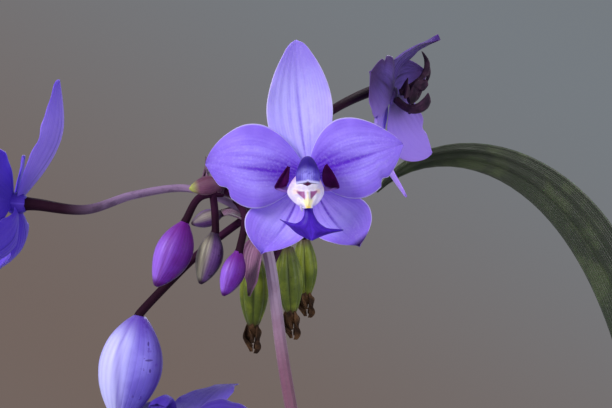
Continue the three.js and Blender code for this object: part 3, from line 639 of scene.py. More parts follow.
# Tones of each look: pale and crown are painted highlight, and the sepals' purple tone is also painted light.
TEPAL_LOOKS = rows("shade light pale crown tip glow flame vein rim back", {
    "fresh": ("#8363e2", "#9a7ef4", "#b0a6ff", "#bcb4ff", "#7e60da", "#ab86ff", "#5414c0", "#6a38d6",
              "#cfc8ff", "#7f58da"),
    "deep": ("#4c2ac4", "#6244d8", "#7a62ea", "#ac90ff", "#5a38cc", "#6a48dc", "#240a80", "#3c18a8",
             "#6c54d8", "#4226b8"),
    # The shadow look is painted shade: the deep look's tones darkened for a bloom that lies in shade.
    "shadow": ("#3c2096", "#4f36ac", "#5f48bc", "#5f46c0", "#40258c", "#4f36ac", "#20086c", "#2e1480",
               "#6250b4", "#301c86"),
    "spent": ("#3a2268", "#5a4098", "#6c54b4", "#9078dc", "#3c1a48", "#5a4098", "#2a0e4a", "#241040",
              "#6a568c", "#4c2f86"),
})


def tepal_finish(look):
    """Petal skin: soft broken veins, a dark flame from the throat, painted highlight on the middles and the
    dorsal, painted light on the sepals, painted glints and a thin light rim.
    """
    tones = TEPAL_LOOKS[look]
    f = Finish(f"tepal_{look}", 0.55, 0.2, subsurface=0.3, sheen=0.07)
    f.shader["Sheen Tint"].default_value = tone("#c9bcff")
    petal, crown, off = f.mark("petal"), f.mark("crown"), f.off_middle()
    inner = f.fall(off, 0.3, 0.95)
    f.base(tones["shade"], tones["light"], f.mottle(110, 0.3, 0.7))
    # Painted highlight: a paler middle on each tepal, most on the sepals, and a paler dorsal.
    f.paint(tones["pale"], inner, f.after(0.1, 0.4), f.before(0.55, 0.9), f.pick(petal, 0.85, 0.35))
    f.paint(tones["crown"], crown, f.after(0.05, 0.3, 0.4), 0.7)
    outer = f.math("MAXIMUM", f.after(0.6, 0.98), f.both(petal, f.range(off, 0.45, 0.95)))
    f.paint(tones["tip"], outer, 0.65)
    f.paint(tones["rim"], crown, f.before(0.04, 0.32), 0.45)
    # Painted light with a more purple tone on the sepals, strongest at their feet where the petals shade
    # them.
    sepal = f.math("SUBTRACT", f.math("SUBTRACT", 1.0, petal), crown)
    f.paint(tones["glow"], sepal, f.after(0.3, 0.75, 1.0, 0.3), 0.65)
    lines = f.both(f.veins(7, 2.5, 0.03), inner, f.mottle(170, 0.3, 0.62), f.after(0.03, 0.16),
                   f.after(0.55, 0.92, 1.0, 0.1))
    f.paint(tones["vein"], lines, f.pick(petal, 0.3, 0.45))
    f.paint(tones["vein"], f.veins(23, 2, 0.03), f.mottle(300, 0.35, 0.65), f.pick(petal, 0.2, 0.34))
    reach = f.math("ADD", off, f.both(f.along, 1.7))
    f.paint(tones["flame"], petal, f.fall(reach, 0.45, 1.3), f.pick(f.veins(15, 1.5, 0.03), 0.8, 1.0))
    f.paint(tones["flame"], f.fall(off, 0.01, 0.08), f.after(0.4, 0.9, 0.8, 0.0), f.after(0.06, 0.2),
            f.pick(crown, 1.0, 0.5))
    # Painted glints: fine pale specks for the sparkle of the petal's cells.
    f.paint(tones["rim"], f.mottle(2200, 0.48, 0.66), inner, 0.12)
    f.paint(tones["rim"], f.rim(0.05), 0.7)
    f.paint("#2f0f50", f.mark("dark_tip"), f.after(0.9, 0.985))
    f.paint(tones["back"], f.mark("below"), f.pick(crown, 0.6, 0.1))
    if look == "spent":
        f.paint("#ae8cff", f.range(f.spot()[2], 0.614, 0.628, 0.9, 0.0))
    return f.done(f.math("SUBTRACT", f.both(f.grain(2600, 0.5), 0.6), f.both(lines, 0.25)), 0.08)


def lip_finish():
    """The lip's tongue: deep blue violet with darker lines, a painted highlight along its keel, and white
    where its claw meets the callus.
    """
    f = Finish("lip_deep_violet", 0.48, 0.2, subsurface=0.08, sheen=0.03)
    f.base("#33079a", "#4213b2", f.mottle(420, 0.3, 0.7))
    # Painted highlight: a lighter stripe along the keel of the lip's blade.
    f.paint("#5024cc", f.fall(f.gap(f.across, 0.5), 0.02, 0.16), f.after(0.4, 0.7))
    f.paint("#270a78", f.veins(12, 3), 0.35)
    f.paint("#2c0c80", f.rim(0.1), 0.5)
    f.paint("#e4d8f0", f.before(0.13, 0.18))
    return f.done(f.grain(3000), 0.04)


def lobe_finish():
    """Side lobes: velvet maroon violet, fading to lilac behind the callus."""
    f = Finish("side_lobe_maroon", 0.65, 0.06)
    f.base("#28002e", "#3d0046", f.mottle(500, 0.3, 0.75))
    f.paint("#52067a", f.rim(0.22), f.after(0.1, 0.5), 0.4)
    f.paint("#9a6ed2", f.after(0.6, 0.78))
    return f.done(f.grain(3000), 0.04)


def callus_finish():
    """White cushion with two rosy wedges, a yellow foot, and a maroon mark under the hood."""
    f = Finish("callus_white", 0.4, 0.35, subsurface=0.3)
    off = f.off_middle()
    f.base("#cdc2ee", "#eee6f8", f.mottle(600, 0.3, 0.7))
    f.paint("#c4bcf4", f.range(off, 0.55, 0.98), f.after(0.35, 0.6), 0.7)
    f.paint("#b682cc", f.range(off, 0.6, 1.0), f.after(0.1, 0.5, 1.0, 0.2), 0.85)
    f.paint("#eec49e", f.fall(f.gap(off, 0.6), 0.06, 0.2), f.fall(f.gap(f.along, 0.44), 0.03, 0.1), 0.5)
    wedge = f.math("SUBTRACT", f.gap(off, f.after(0.4, 0.72, 0.36, 0.2)), f.after(0.4, 0.78, 0.21, 0.0))
    f.paint("#933c86", f.fall(wedge, -0.05, 0.05), f.after(0.4, 0.46), f.before(0.68, 0.78), 0.92)
    f.paint("#f2dfb0", f.fall(off, 0.02, 0.08), f.after(0.4, 0.5), 0.6)
    f.paint("#f8eab0", f.fall(off, 0.25, 0.5), f.after(0.62, 0.74), 0.9)
    f.paint("#efc64e", f.fall(off, 0.15, 0.55), f.after(0.84, 0.96), 0.8)
    drop = f.math("ADD", off, f.after(0.26, 0.4, 0.0, 0.4))
    f.paint("#4c0a3c", f.fall(drop, 0.22, 0.3), f.after(0.02, 0.12))
    return f.done(f.grain(3500), 0.04)


def column_finish():
    """The hood: dark violet above, streaked blue, paler below with a light rim, and maroon inside."""
    f = Finish("column_violet", 0.45, 0.25, subsurface=0.08)
    f.base("#5a30b8", "#280c7c", f.after(0.25, 0.5))
    f.paint("#3c22a8", f.after(0.6, 0.78))
    centre = f.range(f.gap(f.across, 0.25), 0.05, 0.15, 1.0, 0.15)
    patchy = f.range(f.noise(f.place, 700.0, 3.0, 0.6), 0.25, 0.52)
    f.paint("#9890f4", centre, f.after(0.62, 0.8), patchy, 0.85)
    f.paint("#2a0c84", f.veins(26, 2), 0.35)
    f.paint("#cfccff", f.after(0.87, 0.92), 0.8)
    f.paint("#5a0a4a", f.after(0.945, 0.965))
    return f.done(f.grain(3000), 0.04)


def plain_finish(name, roughness, specular, tones, blotches, relief, over=None):
    """Two tones in blotches, perhaps a third laid over them, and a grainy relief."""
    f = Finish(name, roughness, specular)
    f.base(*tones, f.mottle(*blotches))
    if over:
        color, pattern, values, strength = over
        f.paint(color, getattr(f, pattern)(*values), strength)
    return f.done(f.grain(relief[0]), relief[1])


def faded_finish(name, low, high):
    """The inner parts of a bloom that is past its best, or of one that lies in deep shade, darkened as
    painted shade.
    """
    return plain_finish(name, 0.65, 0.15, (low, high), (400, 0.3, 0.7), (2500, 0.08),
                        (low, "veins", (12, 2), 0.4))


# The foot's tone reaches up to a share of the bud's length, and the tip's starts at one
# The lit-side tone is painted highlight (on dusky buds an olive-cream streak laid the same way), and the dark
# tone is painted shade that also colours the large bud's dashes.
BUD_LOOKS = rows("foot flank shade tip sunny dark reach tip_start", {
    "blue": ("#5a35b0", "#9083ee", "#7d6bdc", "#2c1060", "#c3c2ff", "#3c1a80", 0.26, 0.86),
    "magenta": ("#680a7e", "#7231b4", "#661690", "#4a0860", "#9664e0", "#36044e", 0.55, 0.86),
    "pale": ("#5c2c3c", "#80506e", "#5e3250", "#9aa050", "#94707e", "#34142a", 0.26, 0.7),
    "dusky": ("#240e2a", "#74508c", "#4c2866", "#2c1026", "#a09a86", "#220c2c", 0.26, 0.86),
})
# The way the painted light comes from, for the buds' painted highlight and painted shade.
PAINTED_LIGHT_SIDE = (-0.62, -0.77, 0.1)
# Dark dashes on the large bud's flank: the x and z of each middle, and half its width and height
BUD_DASHES = [(-78.7, 566.4, 0.85, 0.24), (-78.9, 569.9, 0.2, 0.5), (-78.5, 564.1, 0.25, 0.45)]


def bud_finish(look):
    """Bud skin from its foot to its tip, with painted highlight on one flank and painted shade on the other,
    fine veins and dark seams.
    """
    tones = BUD_LOOKS[look]
    f = Finish(f"bud_{look}", 0.45, 0.25, subsurface=0.15)
    sunny = f.mark("sunny")
    f.base(tones["shade"], tones["flank"], f.mottle(150, 0.35, 0.65))
    # Painted highlight on the flank that faces the painted light, and painted shade on the far flank.
    f.paint(tones["sunny"], f.range(sunny, 0.55, 1.02))
    f.paint(tones["dark"], f.range(sunny, 0.15, -0.45), 0.85)
    f.paint(tones["foot"], f.after(0.02, tones["reach"], 0.9, 0.0))
    f.paint(tones["shade"], f.veins(27, 2), 0.2)
    f.paint(tones["foot"], f.mark("seam"), 0.5)
    f.paint(tones["tip"], f.after(tones["tip_start"], 0.98))
    # Dark specks, kept off the painted highlight.
    f.paint(tones["foot"], f.mottle(480, 0.58, 0.65), f.range(sunny, 0.75, 0.3), 0.7)
    if look == "blue":
        x, _, z = f.spot()
        for middle_x, middle_z, wide, high in BUD_DASHES:
            gaps = [f.math("DIVIDE", f.math("SUBTRACT", place, middle * MM), half * MM)
                    for place, middle, half in ((x, middle_x, wide), (z, middle_z, high))]
            away = f.math("ADD", *(f.both(gap, gap) for gap in gaps))
            f.paint(tones["dark"], f.range(away, 0.4, 1.3, 0.75, 0.0))
    lines = f.both(f.veins(27, 3, 0.01), f.after(0.05, 0.2), f.before(0.85, 0.97))
    return f.done(f.math("SUBTRACT", f.both(f.grain(2400), 0.4), lines), 0.04)


def stem_finish():
    """Flower stem: mauve near the flowers, darker plum further down, green-brown at the foot."""
    f = Finish("stem_plum", 0.45, 0.35, subsurface=0.08, sheen=0.12)
    ribs = f.veins(9, 2)
    f.base("#4a4526", "#794d64", f.after(0.1, 0.5))
    f.paint("#a890ac", f.after(0.58, 0.68))
    f.paint("#40203a", f.after(0.73, 0.8))
    f.paint("#6a4a66", ribs, 0.2)
    f.paint("#6a4058", f.mottle(160, 0.5, 0.62), 0.25)
    return f.done(f.math("ADD", f.both(ribs, 0.6), f.both(f.grain(1800), 0.6)), 0.12)


def stalk_finish():
    """Stalks of blooms and buds: mauve where they leave the stem, near-black plum at the flower."""
    f = Finish("stalk_dark_plum", 0.65, 0.04)
    f.base("#3a1834", "#26101f", f.after(0.2, 0.6))
    f.paint("#93799e", f.mark("light"), f.before(0.42, 0.7))
    f.paint("#2c1226", f.mottle(260, 0.48, 0.62), 0.35)
    return f.done(f.math("ADD", f.both(f.veins(6, 2), 0.5), f.both(f.grain(2200), 0.6)), 0.1)


def bract_finish():
    f = Finish("bract_plum", 0.45, 0.35, subsurface=0.15, sheen=0.15)
    veins = f.veins(12, 3)
    f.base("#3a1436", "#6a3460", f.mottle(220, 0.35, 0.7))
    f.paint("#b880ac", f.mark("light"), 0.4)
    f.paint("#4a1a48", veins, 0.4)
    f.paint("#9a9a4a", f.after(0.45, 0.8), f.mark("green"))
    f.paint("#3a1c20", f.after(0.86, 1.0))
    f.paint("#b48ab0", f.rim(0.12), 0.25)
    return f.done(f.math("SUBTRACT", f.both(f.grain(2400), 0.4), veins), 0.08)


def capsule_finish():
    """Ripening pods: olive green with darker furrows and brown ends."""
    f = Finish("capsule_olive", 0.45, 0.4, subsurface=0.08)
    f.base("#526113", "#7c8824", f.mottle(200, 0.4, 0.65))
    f.paint("#2c350b", f.mark("furrow"), 0.65)
    f.paint("#4a2c34", f.after(0.0, 0.16, 0.8, 0.0))
    f.paint("#3c2a14", f.after(0.84, 1.0))
    f.paint("#3a3010", f.mottle(600, 0.62, 0.68), 0.5)
    return f.done(f.grain(1800), 0.08)


# Finishes of the leaves, bulbs and pot

def leaf_finish():
    """Pleated leaves: paler ribs, darker furrows, an uneven waxy green, dry brown at tips and rims, and
    painted shade on one leaf's far part.
    """
    f = Finish("leaf_green", 0.42, 0.45, subsurface=0.1)
    f.shader["Subsurface Radius"].default_value = (0.3, 1.0, 0.2)
    fine = f.veins(60, 2, 0.004)
    f.base("#24501a", "#3d6f25", f.mottle(14, 0.35, 0.65))
    f.paint("#1c3c18", f.mottle(70, 0.45, 0.6), 0.35)
    f.paint("#7f9c4c", f.veins(6, 10, 0.003), 0.55)
    f.paint("#5a7c34", fine, 0.2)
    f.paint("#6c8a3e", f.before(0.08, 0.32), 0.6)
    f.paint("#5d8048", f.mark("below"), 0.35)
    # Painted shade: leaf 3's far part darkened to dull grey green for the shade it lies in, and kept free of
    # dry marks.
    dark = f.both(f.mark("dark"), f.after(0.4, 0.68))
    f.paint(f.mix(f.mottle(90, 0.48, 0.66), tone("#24281e"), tone("#3e462e")), dark, 0.92)
    green = f.math("SUBTRACT", 1.0, dark)
    age = f.math("ADD", f.mottle(45, 0.35, 0.75), f.both(f.mark("age"), 0.6))
    dry_tip = f.range(f.math("ADD", f.along, f.both(age, 0.05)), 0.97, 1.02)
    dry_rim = f.both(f.rim(0.05), f.range(age, 0.75, 1.2), f.after(0.45, 0.8))
    f.paint("#6b4a22", green, f.math("MAXIMUM", dry_tip, dry_rim))
    f.paint("#5c4a1e", green, f.mottle(160, 0.66, 0.7), f.range(age, 0.4, 1.1), 0.8)
    wax = f.pick(f.mottle(60, 0.35, 0.7), 0.36, 0.52)
    return f.done(f.math("ADD", f.both(fine, 0.5), f.both(f.grain(900), 0.5)), 0.16, wax)


def bulb_finish():
    f = Finish("bulb_skin", 0.5, 0.4, subsurface=0.08)
    scar = f.range(f.gap(f.math("FRACT", f.both(f.along, float(BULB_SCARS))), 0.5), 0.4, 0.48)
    f.base("#6f7a2c", "#98944c", f.mottle(80, 0.35, 0.65))
    f.paint("#5c4420", f.mottle(260, 0.55, 0.62), 0.6)
    f.paint("#4a3618", scar, 0.75)
    return f.done(f.math("ADD", f.grain(900), f.both(scar, -1.2)), 0.25)


def husk_finish():
    """Dry sheaths round the bulbs: papery tan with long brown fibres."""
    f = Finish("husk_tan", 0.75, 0.25)
    strand = f.noise(f.vector("MULTIPLY", f.place, (900.0, 900.0, 60.0)), 1.0, 4.0, 0.6)
    f.base("#4e3820", "#b09468", f.range(strand, 0.35, 0.65))
    f.paint("#6b4c2a", f.mottle(90, 0.45, 0.6), 0.6)
    f.paint("#7c8c4a", f.mark("fresh"), 0.75)
    return f.done(strand, 0.35)


def clay_finish():
    """Fired clay: warm and uneven, with pale salt above the foot, a damp band and green at the base."""
    f = Finish("clay", 0.88, 0.2)
    z = f.spot()[2]
    level = f.math("ADD", z, f.both(f.mottle(22, 0.3, 0.7), 0.045))
    damp, pits = f.fall(level, 0.03, 0.07), f.mottle(900, 0.62, 0.7)
    f.base("#9c5232", "#bf7450", f.mottle(16, 0.3, 0.7))
    f.paint("#8a4529", f.mottle(120, 0.5, 0.62), 0.35)
    f.paint("#d9c2ae", f.range(level, 0.05, 0.085), f.fall(level, 0.1, 0.16), f.mottle(45, 0.38, 0.62), 0.6)
    f.paint("#d6c3b2", f.range(z, 0.158, 0.169), f.mottle(60, 0.42, 0.6), 0.5)
    f.paint("#6c3420", damp, 0.5)
    f.paint("#4a5a28", f.fall(level, 0.02, 0.05), f.mottle(70, 0.5, 0.6), 0.6)
    f.paint("#6a351f", pits, 0.5)
    return f.done(f.math("SUBTRACT", f.grain(700), pits), 0.3, f.pick(damp, 0.92, 0.72))


def chip_finish():
    """Bark chips: each its own brown, with a grain along it and paler broken faces."""
    f = Finish("bark_chip", 0.85, 0.2)
    f.base("#2e1c12", "#8a5c38", f.mark("tint"))
    f.paint("#20140d", f.mottle(320, 0.4, 0.65), 0.6)
    f.paint("#b08a5e", f.mottle(900, 0.58, 0.68), 0.5)
    return f.done(f.grain(700), 0.5)


def fuzz_finish():
    f = Finish("stem_fuzz", 0.7, 0.2)
    f.base("#6a4460", "#a888a4", f.mark("tint"))
    return f.done()


# Blooms

def bloom_frame(at, faces, roll, size, **_):
    """A function that carries points from a bloom's own frame to the plant's."""
    facing = unit(faces)
    right = unit(np.cross(UP, facing))
    basis = np.stack([right, np.cross(facing, right), facing], 1)
    cos, sin = math.cos(math.radians(roll)), math.sin(math.radians(roll))
    matrix = size * (basis @ np.array([[cos, -sin, 0], [sin, cos, 0], [0, 0, 1]]))
    return lambda points: points @ matrix.T + np.array(at, float)


def tepal_edge(t, blunt, most, peak, full):
    """Half widths of a tepal along one of its edges."""
    fullness = full * (1 - blunt * smoothstep(t, 0.88, 1))
    bow = most * np.clip(arch(t ** (math.log(0.5) / math.log(peak))), 0, 1) ** fullness
    claw = TEPAL["claw_half"] * (1 - t)
    return (claw**4 + bow**4 + TEPAL["tip_half"] ** 4) ** 0.25


def add_tepal(shell, part, lean, belly, blunt, carry, seed):
    """One tepal: a slightly rippled blade with a nicked rim and a pinched tip."""
    shape = TEPALS[part]
    t, s, tt, ss = lattice(57, 41)
    base = np.array(shape["base"], float)
    run = np.array(shape["tip"], float) - base
    out = unit([run[1], -run[0], 0])
    spine = np.zeros((len(t), 3))
    spine[:, :2] = base + run * column(t)
    spine += out * column(-shape["bow"] * arch(t))
    depth = through([[value] for value in shape["depths"]])(t)[:, 0]
    spine[:, 2] = depth - lean * t**2 - belly * arch(0.8 * t)
    halves = [tepal_edge(t, max(blunt, shape["blunt"]), *shape[side]) for side in ("left", "right")]
    for edge, share, deep, length in shape["nicks"]:
        halves[edge] -= deep * smoothstep(t, share - length, share) * smoothstep(t, share + 3 * length, share)
    out_share, way, open_part = np.abs(ss), np.sign(ss), arch(tt)
    lift = shape["cup"] * ss**2 * open_part
    lift += 0.28 * out_share**0.7 * open_part * (0.3 + 0.7 * smoothstep(tt, 0, 0.5))
    lift -= 0.05 * np.cos(8 * math.pi * ss) * open_part * smoothstep(1 - out_share, 0, 0.3)
    wave = np.sin(tt * 17 + seed * 2.1 + 1.5 * way) + 0.6 * np.sin(tt * 31 + seed + 2.4 * way)
    lift += TEPAL["wave"] * wave * out_share**5 * open_part
    lift += shape["pinch"] * smoothstep(tt, 0.82, 1) * (1.1 * out_share - 0.4)
    thick = TEPAL["thick"] * (1 - 0.45 * out_share**3) * (1 - 0.35 * smoothstep(tt, 0.6, 1))
    shell.skin(blade_rings(spine, np.broadcast_to(out, spine.shape), halves, lift, thick, s), t, carry,
               petal=float("petal" in part), crown=float(part == "dorsal"), dark_tip=shape["dark_tip"])


def add_tepals(name, bloom, carry, finish):
    """A bloom's five tepals, and the hub that holds them."""
    shell = Shell()
    *leans, dorsal_belly = bloom["held"]
    for k, (part, lean) in enumerate(zip(TEPALS, leans)):
        belly = dorsal_belly if part == "dorsal" else 0
        add_tepal(shell, part, lean, belly, BLUNT.get(bloom["look"], 0.0), carry, k + 1.7 * len(name))
    profile = rounded([(0.2, HUB["back"]), (0.7 * HUB["radius"], HUB["back"]), (HUB["radius"], -1.5),
                       (HUB["radius"], HUB["front"]), (0.2, HUB["front"] + 0.4)], 0.6)
    shell.loft(carry(turned(profile, 24)), around(24), np.full(len(profile), 0.06), below=0.0, petal=1.0,
               crown=0.0, dark_tip=0.0)
    shell.finish(f"{name}_tepals", finish, "tepal", f"bloom_{name}_tepals")


def add_lip(name, carry, finish):
    """The lip's tongue: a narrow claw that flares into two thin horns and a blunt point."""
    shell = Shell()
    t, s, tt, ss = lattice(97, 41)
    blade = smoothstep(tt, 0.35, 0.6)
    lift = 0.3 * bell(ss / 0.14) * blade * (1 - smoothstep(tt, 0.75, 1))
    lift += 0.12 * np.sin(9 * tt + 4 * ss) * np.abs(ss) * blade
    thick = (1.15 - 0.6 * smoothstep(tt, 0.15, 0.5)) * (1 - 0.4 * np.abs(ss) ** 3)
    shell.skin(spanned_rings(*LIP, t, s, lift, thick), t, carry)
    shell.finish(f"{name}_lip", finish, "lip", f"bloom_{name}_lip")


def add_side_lobes(name, carry, finish):
    """Two erect lobes beside the column, each a cupped ear with a sharp upper corner."""
    shell = Shell()
    t, s, tt, ss = lattice(57, 25)
    lift = 0.08 * np.sin(6 * tt + 3 * ss)
    thick = 0.55 * (1 - 0.4 * np.abs(ss) ** 3)
    for lobe in LOBES:
        outer, inner = (np.array(edge) for edge in lobe)
        left, right = (outer, inner) if outer[0][0] < 0 else (inner, outer)
        middle = (outer + inner) / 2 - (0, 0, 0.5)
        shell.skin(spanned_rings(left, middle, right, t, s, lift, thick), t, carry)
    shell.finish(f"{name}_side_lobes", finish, "lip")


def add_callus(name, carry, finish):
    """The pale cushion on the lip's claw: a collar, two humps with a groove between, and small teeth."""
    shell = Shell()
    t, s, tt, ss = lattice(61, 41)
    out = np.abs(ss)
    hump = bell((out - 0.33) / 0.2, (tt - 0.56) / 0.17)
    ridge = bell((tt - 0.44 + 0.12 * out) / 0.05) * (1 - ss**2)
    cheek = bell((out - 0.72) / 0.2, (tt - 0.6) / 0.25)
    tooth = bell((out - 0.85) / 0.12, (tt - 0.86) / 0.05)
    groove = bell(ss / 0.12) * smoothstep(tt, 0.45, 0.6) * smoothstep(1 - tt, 0.02, 0.2)
    lift = 0.7 * hump + 0.55 * ridge + 0.6 * cheek + 0.5 * tooth - 0.45 * groove
    shell.skin(spanned_rings(*CALLUS, t, s, lift, 1.2 * (1 - 0.35 * ss**2)), t, carry)
    t = np.linspace(0, 1, 13)
    radii = np.repeat(column(0.42 * (1 - t**2) + 0.04), 12, 1)
    shell.loft(carry(tube_rings(through(TOOTH)(t), radii)), around(12) * 0.1, 0.8 + 0 * t, below=0.0)
    shell.finish(f"{name}_callus", finish, "callus", f"bloom_{name}_callus")


def add_column(name, carry, finish):
    """The column: an arched club that ends in a helmet-shaped hood, notched in the middle of its rim."""
    shell = Shell()
    sides = 48
    t = np.linspace(0, 1, 61)
    spine = through(COLUMN["spine"])(t)
    half, deep = through(COLUMN["halves"])(t).T
    angles = angles_round(sides)
    cos, sin = np.cos(angles), np.sin(angles)
    crest = 0.1 * bell((angles - math.pi / 2) / 0.3) * column(smoothstep(t, 0.4, 0.7))
    narrower = 1 - 0.3 * np.clip(sin, 0, 1) ** 2 * column(smoothstep(t, 0.35, 0.6))
    right = np.array([1.0, 0, 0])
    up = unit(np.cross(headings(spine), right))
    rings = spine[:, None] + (column(half) * cos * narrower)[..., None] * right
    rings += (column(deep) * (sin + crest))[..., None] * up[:, None]
    rings[..., 1] += column(smoothstep(t, 0.82, 1)) * (0.25 * bell(cos / 0.2) - 0.25 * np.abs(cos) ** 3)
    last = rings[-1]
    middle = last.mean(0)
    inner = [middle + (last - middle) * size + np.array([0, rise, 0]) for size, rise in MOUTH]
    v = np.concatenate([t * 0.94, np.linspace(0.95, 1, len(MOUTH))])
    shell.loft(carry(np.concatenate([rings, inner])), around(sides), v)
    shell.finish(f"{name}_column", finish, "column", f"bloom_{name}_column")


def add_blooms():
    tepal = {look: tepal_finish(look) for look in TEPAL_LOOKS}
    parts = {add_lip: lip_finish(), add_side_lobes: lobe_finish(), add_callus: callus_finish(),
             add_column: column_finish()}
    # For the bloom in shade, painted shade replaces the white callus and violet lip with dim violet.
    faded = {"spent": faded_finish("withered_inside", "#24142a", "#4a2c44"),
             "shadow": faded_finish("shaded_inside", "#3a2290", "#4e38a8")}
    for name, bloom in BLOOMS.items():
        carry = bloom_frame(**bloom)
        add_tepals(name, bloom, carry, tepal[bloom["look"]])
        for add_part, finish in parts.items():
            add_part(name, carry, faded.get(bloom["look"], finish))


# Stems, stalks, bracts, buds and capsules

stem_path = {name: through(points) for name, points in STEMS.items()}


def stem_radius(name, t):
    swell = np.zeros_like(t)
    for foot in SHEATH[name]:
        a = (t - foot) / SHEATH["share"]
        swell = np.maximum(swell, np.where((a > 0) & (a < 1), 0.35 * SHEATH["swell"] * (1 - a), 0))
    return STEM["root_r"] + (STEM["top_r"] - STEM["root_r"]) * t ** STEM["taper"] + swell


def add_stem(name, finish):
    """A slender stem with low ridges and small swellings where stalks leave it."""
    shell = Shell()
    t = np.linspace(0, 1, 300)
    knots = sum(bell((t - share) / 0.006) for stem, share, _, _ in BRACTS if stem == name)
    ridges = 1 + 0.035 * np.cos(7 * angles_round(28))[None]
    radii = column(stem_radius(name, t)) * ridges + column(0.28 * knots)
    shell.tube(stem_path[name](t), radii, t)
    shell.finish(f"stem_{name}", finish, "stem", f"flower_stem_{name}")


def stalk_line(points, end, away, lead):
    return through([*points, end - lead * away, end])(np.linspace(0, 1, 70))


def all_stalks():
    """Each stalk as its line, its radii and how pale it is where it leaves the stem."""
    for name, bloom in BLOOMS.items():
        away = unit(bloom["faces"])
        end = np.array(bloom["at"]) + away * (HUB["back"] + 0.6) * bloom["size"]
        yield stalk_line(bloom["stalk"], end, away, STALK["lead"]), STALK["bloom_r"], float(name == "left")
    for shape in (*BUDS.values(), *CAPSULES.values()):
        away = unit(np.subtract(shape["end"], shape["start"]))
        r = shape.get("stalk_r", STALK["bud_r"])
        line = stalk_line(shape["stalk"], np.array(shape["start"]) + away * 0.6, away, STALK["bud_lead"])
        yield line, (r, r * STALK["flare"]), 0.0


def add_stalks(finish):
    """Stalks with ridges that twist a quarter turn, thickening towards the flower into its ovary."""
    shell = Shell()
    angles = angles_round(18)[None]
    for line, (thin, thick), light in all_stalks():
        t = np.linspace(0, 1, len(line))
        ridge = 1 + 0.09 * column(smoothstep(t, 0.3, 0.8)) * np.cos(6 * (angles + 0.8 * column(t)))
        radii = column(thin + (thick - thin) * t**2) * ridge + column(0.25 * bell(t / 0.05))
        shell.tube(line, radii, t, light=light)
    shell.finish("stalks", finish, "stem")


def add_bracts(finish):
    """Pointed bracts that clasp the stem below each stalk."""
    shell = Shell()
    t, s, tt, ss = lattice(33, 21)
    thick = BRACT["thick"] * (1 - 0.5 * np.abs(ss) ** 3)
    for k, (stem, share, points, length) in enumerate(BRACTS):
        path = stem_path[stem]
        along = unit(points)
        stemwise = unit(path(share + 1e-3) - path(share - 1e-3))
        side = np.tile(unit(np.cross(along, stemwise)), (len(t), 1))
        spine = path(share) + along * column(length * t) - stemwise * column(BRACT["droop"] * length * t**2)
        half = 0.3 + BRACT["half"] * length * arch((0.12 + 0.88 * t) ** 0.8)
        lift = BRACT["cup"] * length * ss**2 * arch(np.minimum(1, tt + 0.2))
        lift += 0.12 * np.sin(9 * tt + k) * np.abs(ss) ** 3 - 0.05 * np.cos(6 * math.pi * ss)
        shell.skin(blade_rings(spine, side, [half, half], lift, thick, s), t,
                   green=float(stem == "short"), light=float(share < 0.8))
    shell.finish("bracts", finish, "stem")


def add_bud(name, shape, finish):
    """A closed bud: three sepals that overlap along shallow seams and meet in a small beak."""
    shell = Shell()
    sides = 54
    t = np.linspace(0, 1, 49)
    angles = angles_round(sides)[None]
    start, end = np.array(shape["start"], float), np.array(shape["end"], float)
    away = unit(end - start)
    spine = start + away * (GAP * 0.4) + (end - start - away * GAP * 0.4) * column(t)
    spine += ring_frames(spine)[0] * column(0.06 * shape["radius"] * arch(t) - 0.05 * shape["radius"] * t**4)
    spine[:, 0] += shape.get("bulge", 0) * arch(t)
    body = shape["radius"] * arch((0.02 + 0.96 * t) ** 0.9) ** 0.75
    foot = shape["stalk_r"] * STALK["flare"] * (1 - t)
    body = (body**4 + foot**4 + 0.15**4) ** 0.25
    turn = angles + 0.5 * column(t)
    phase = (turn * 3 / math.tau) % 1.0
    seam = bell(np.minimum(phase, 1 - phase) / 0.05)
    overlap = 0.035 * (1 - phase) * column(smoothstep(t, 0.05, 0.3))
    veins = 0.006 * np.cos(27 * turn)
    rings = tube_rings(spine, column(body) * (1 + 0.05 * np.cos(3 * angles) + overlap + veins - 0.03 * seam))
    # How much each point faces the painted light, for the bud's painted highlight and painted shade.
    sunny = unit(rings - spine[:, None]) @ unit(PAINTED_LIGHT_SIDE)
    shell.loft(rings, around(sides), t, seam=seam, sunny=sunny)
    shell.finish(f"bud_{name}_skin", finish, "bud", f"bud_{name}")


def add_pod(name, shape, joint, finish):
    """A pod with six ribs."""
    shell = Shell()
    t = np.linspace(0, 1, 41)
    start = np.array(shape["start"], float)
    body = shape["radius"] * arch(0.1 + 0.84 * t) ** 0.6
    body = (body**4 + (STALK["flare"] * (1 - t)) ** 4) ** 0.25
    ribs = np.abs(np.cos(3 * angles_round(60)))[None] ** 0.6
    radii = column(body) * (0.84 + 0.3 * ribs * column(arch(0.1 + 0.8 * t)))
    shell.tube(start + (joint - start) * column(t), radii, t, furrow=(1 - ribs) ** 2)
    shell.finish(f"capsule_{name}_pod", finish, "capsule", f"capsule_{name}")


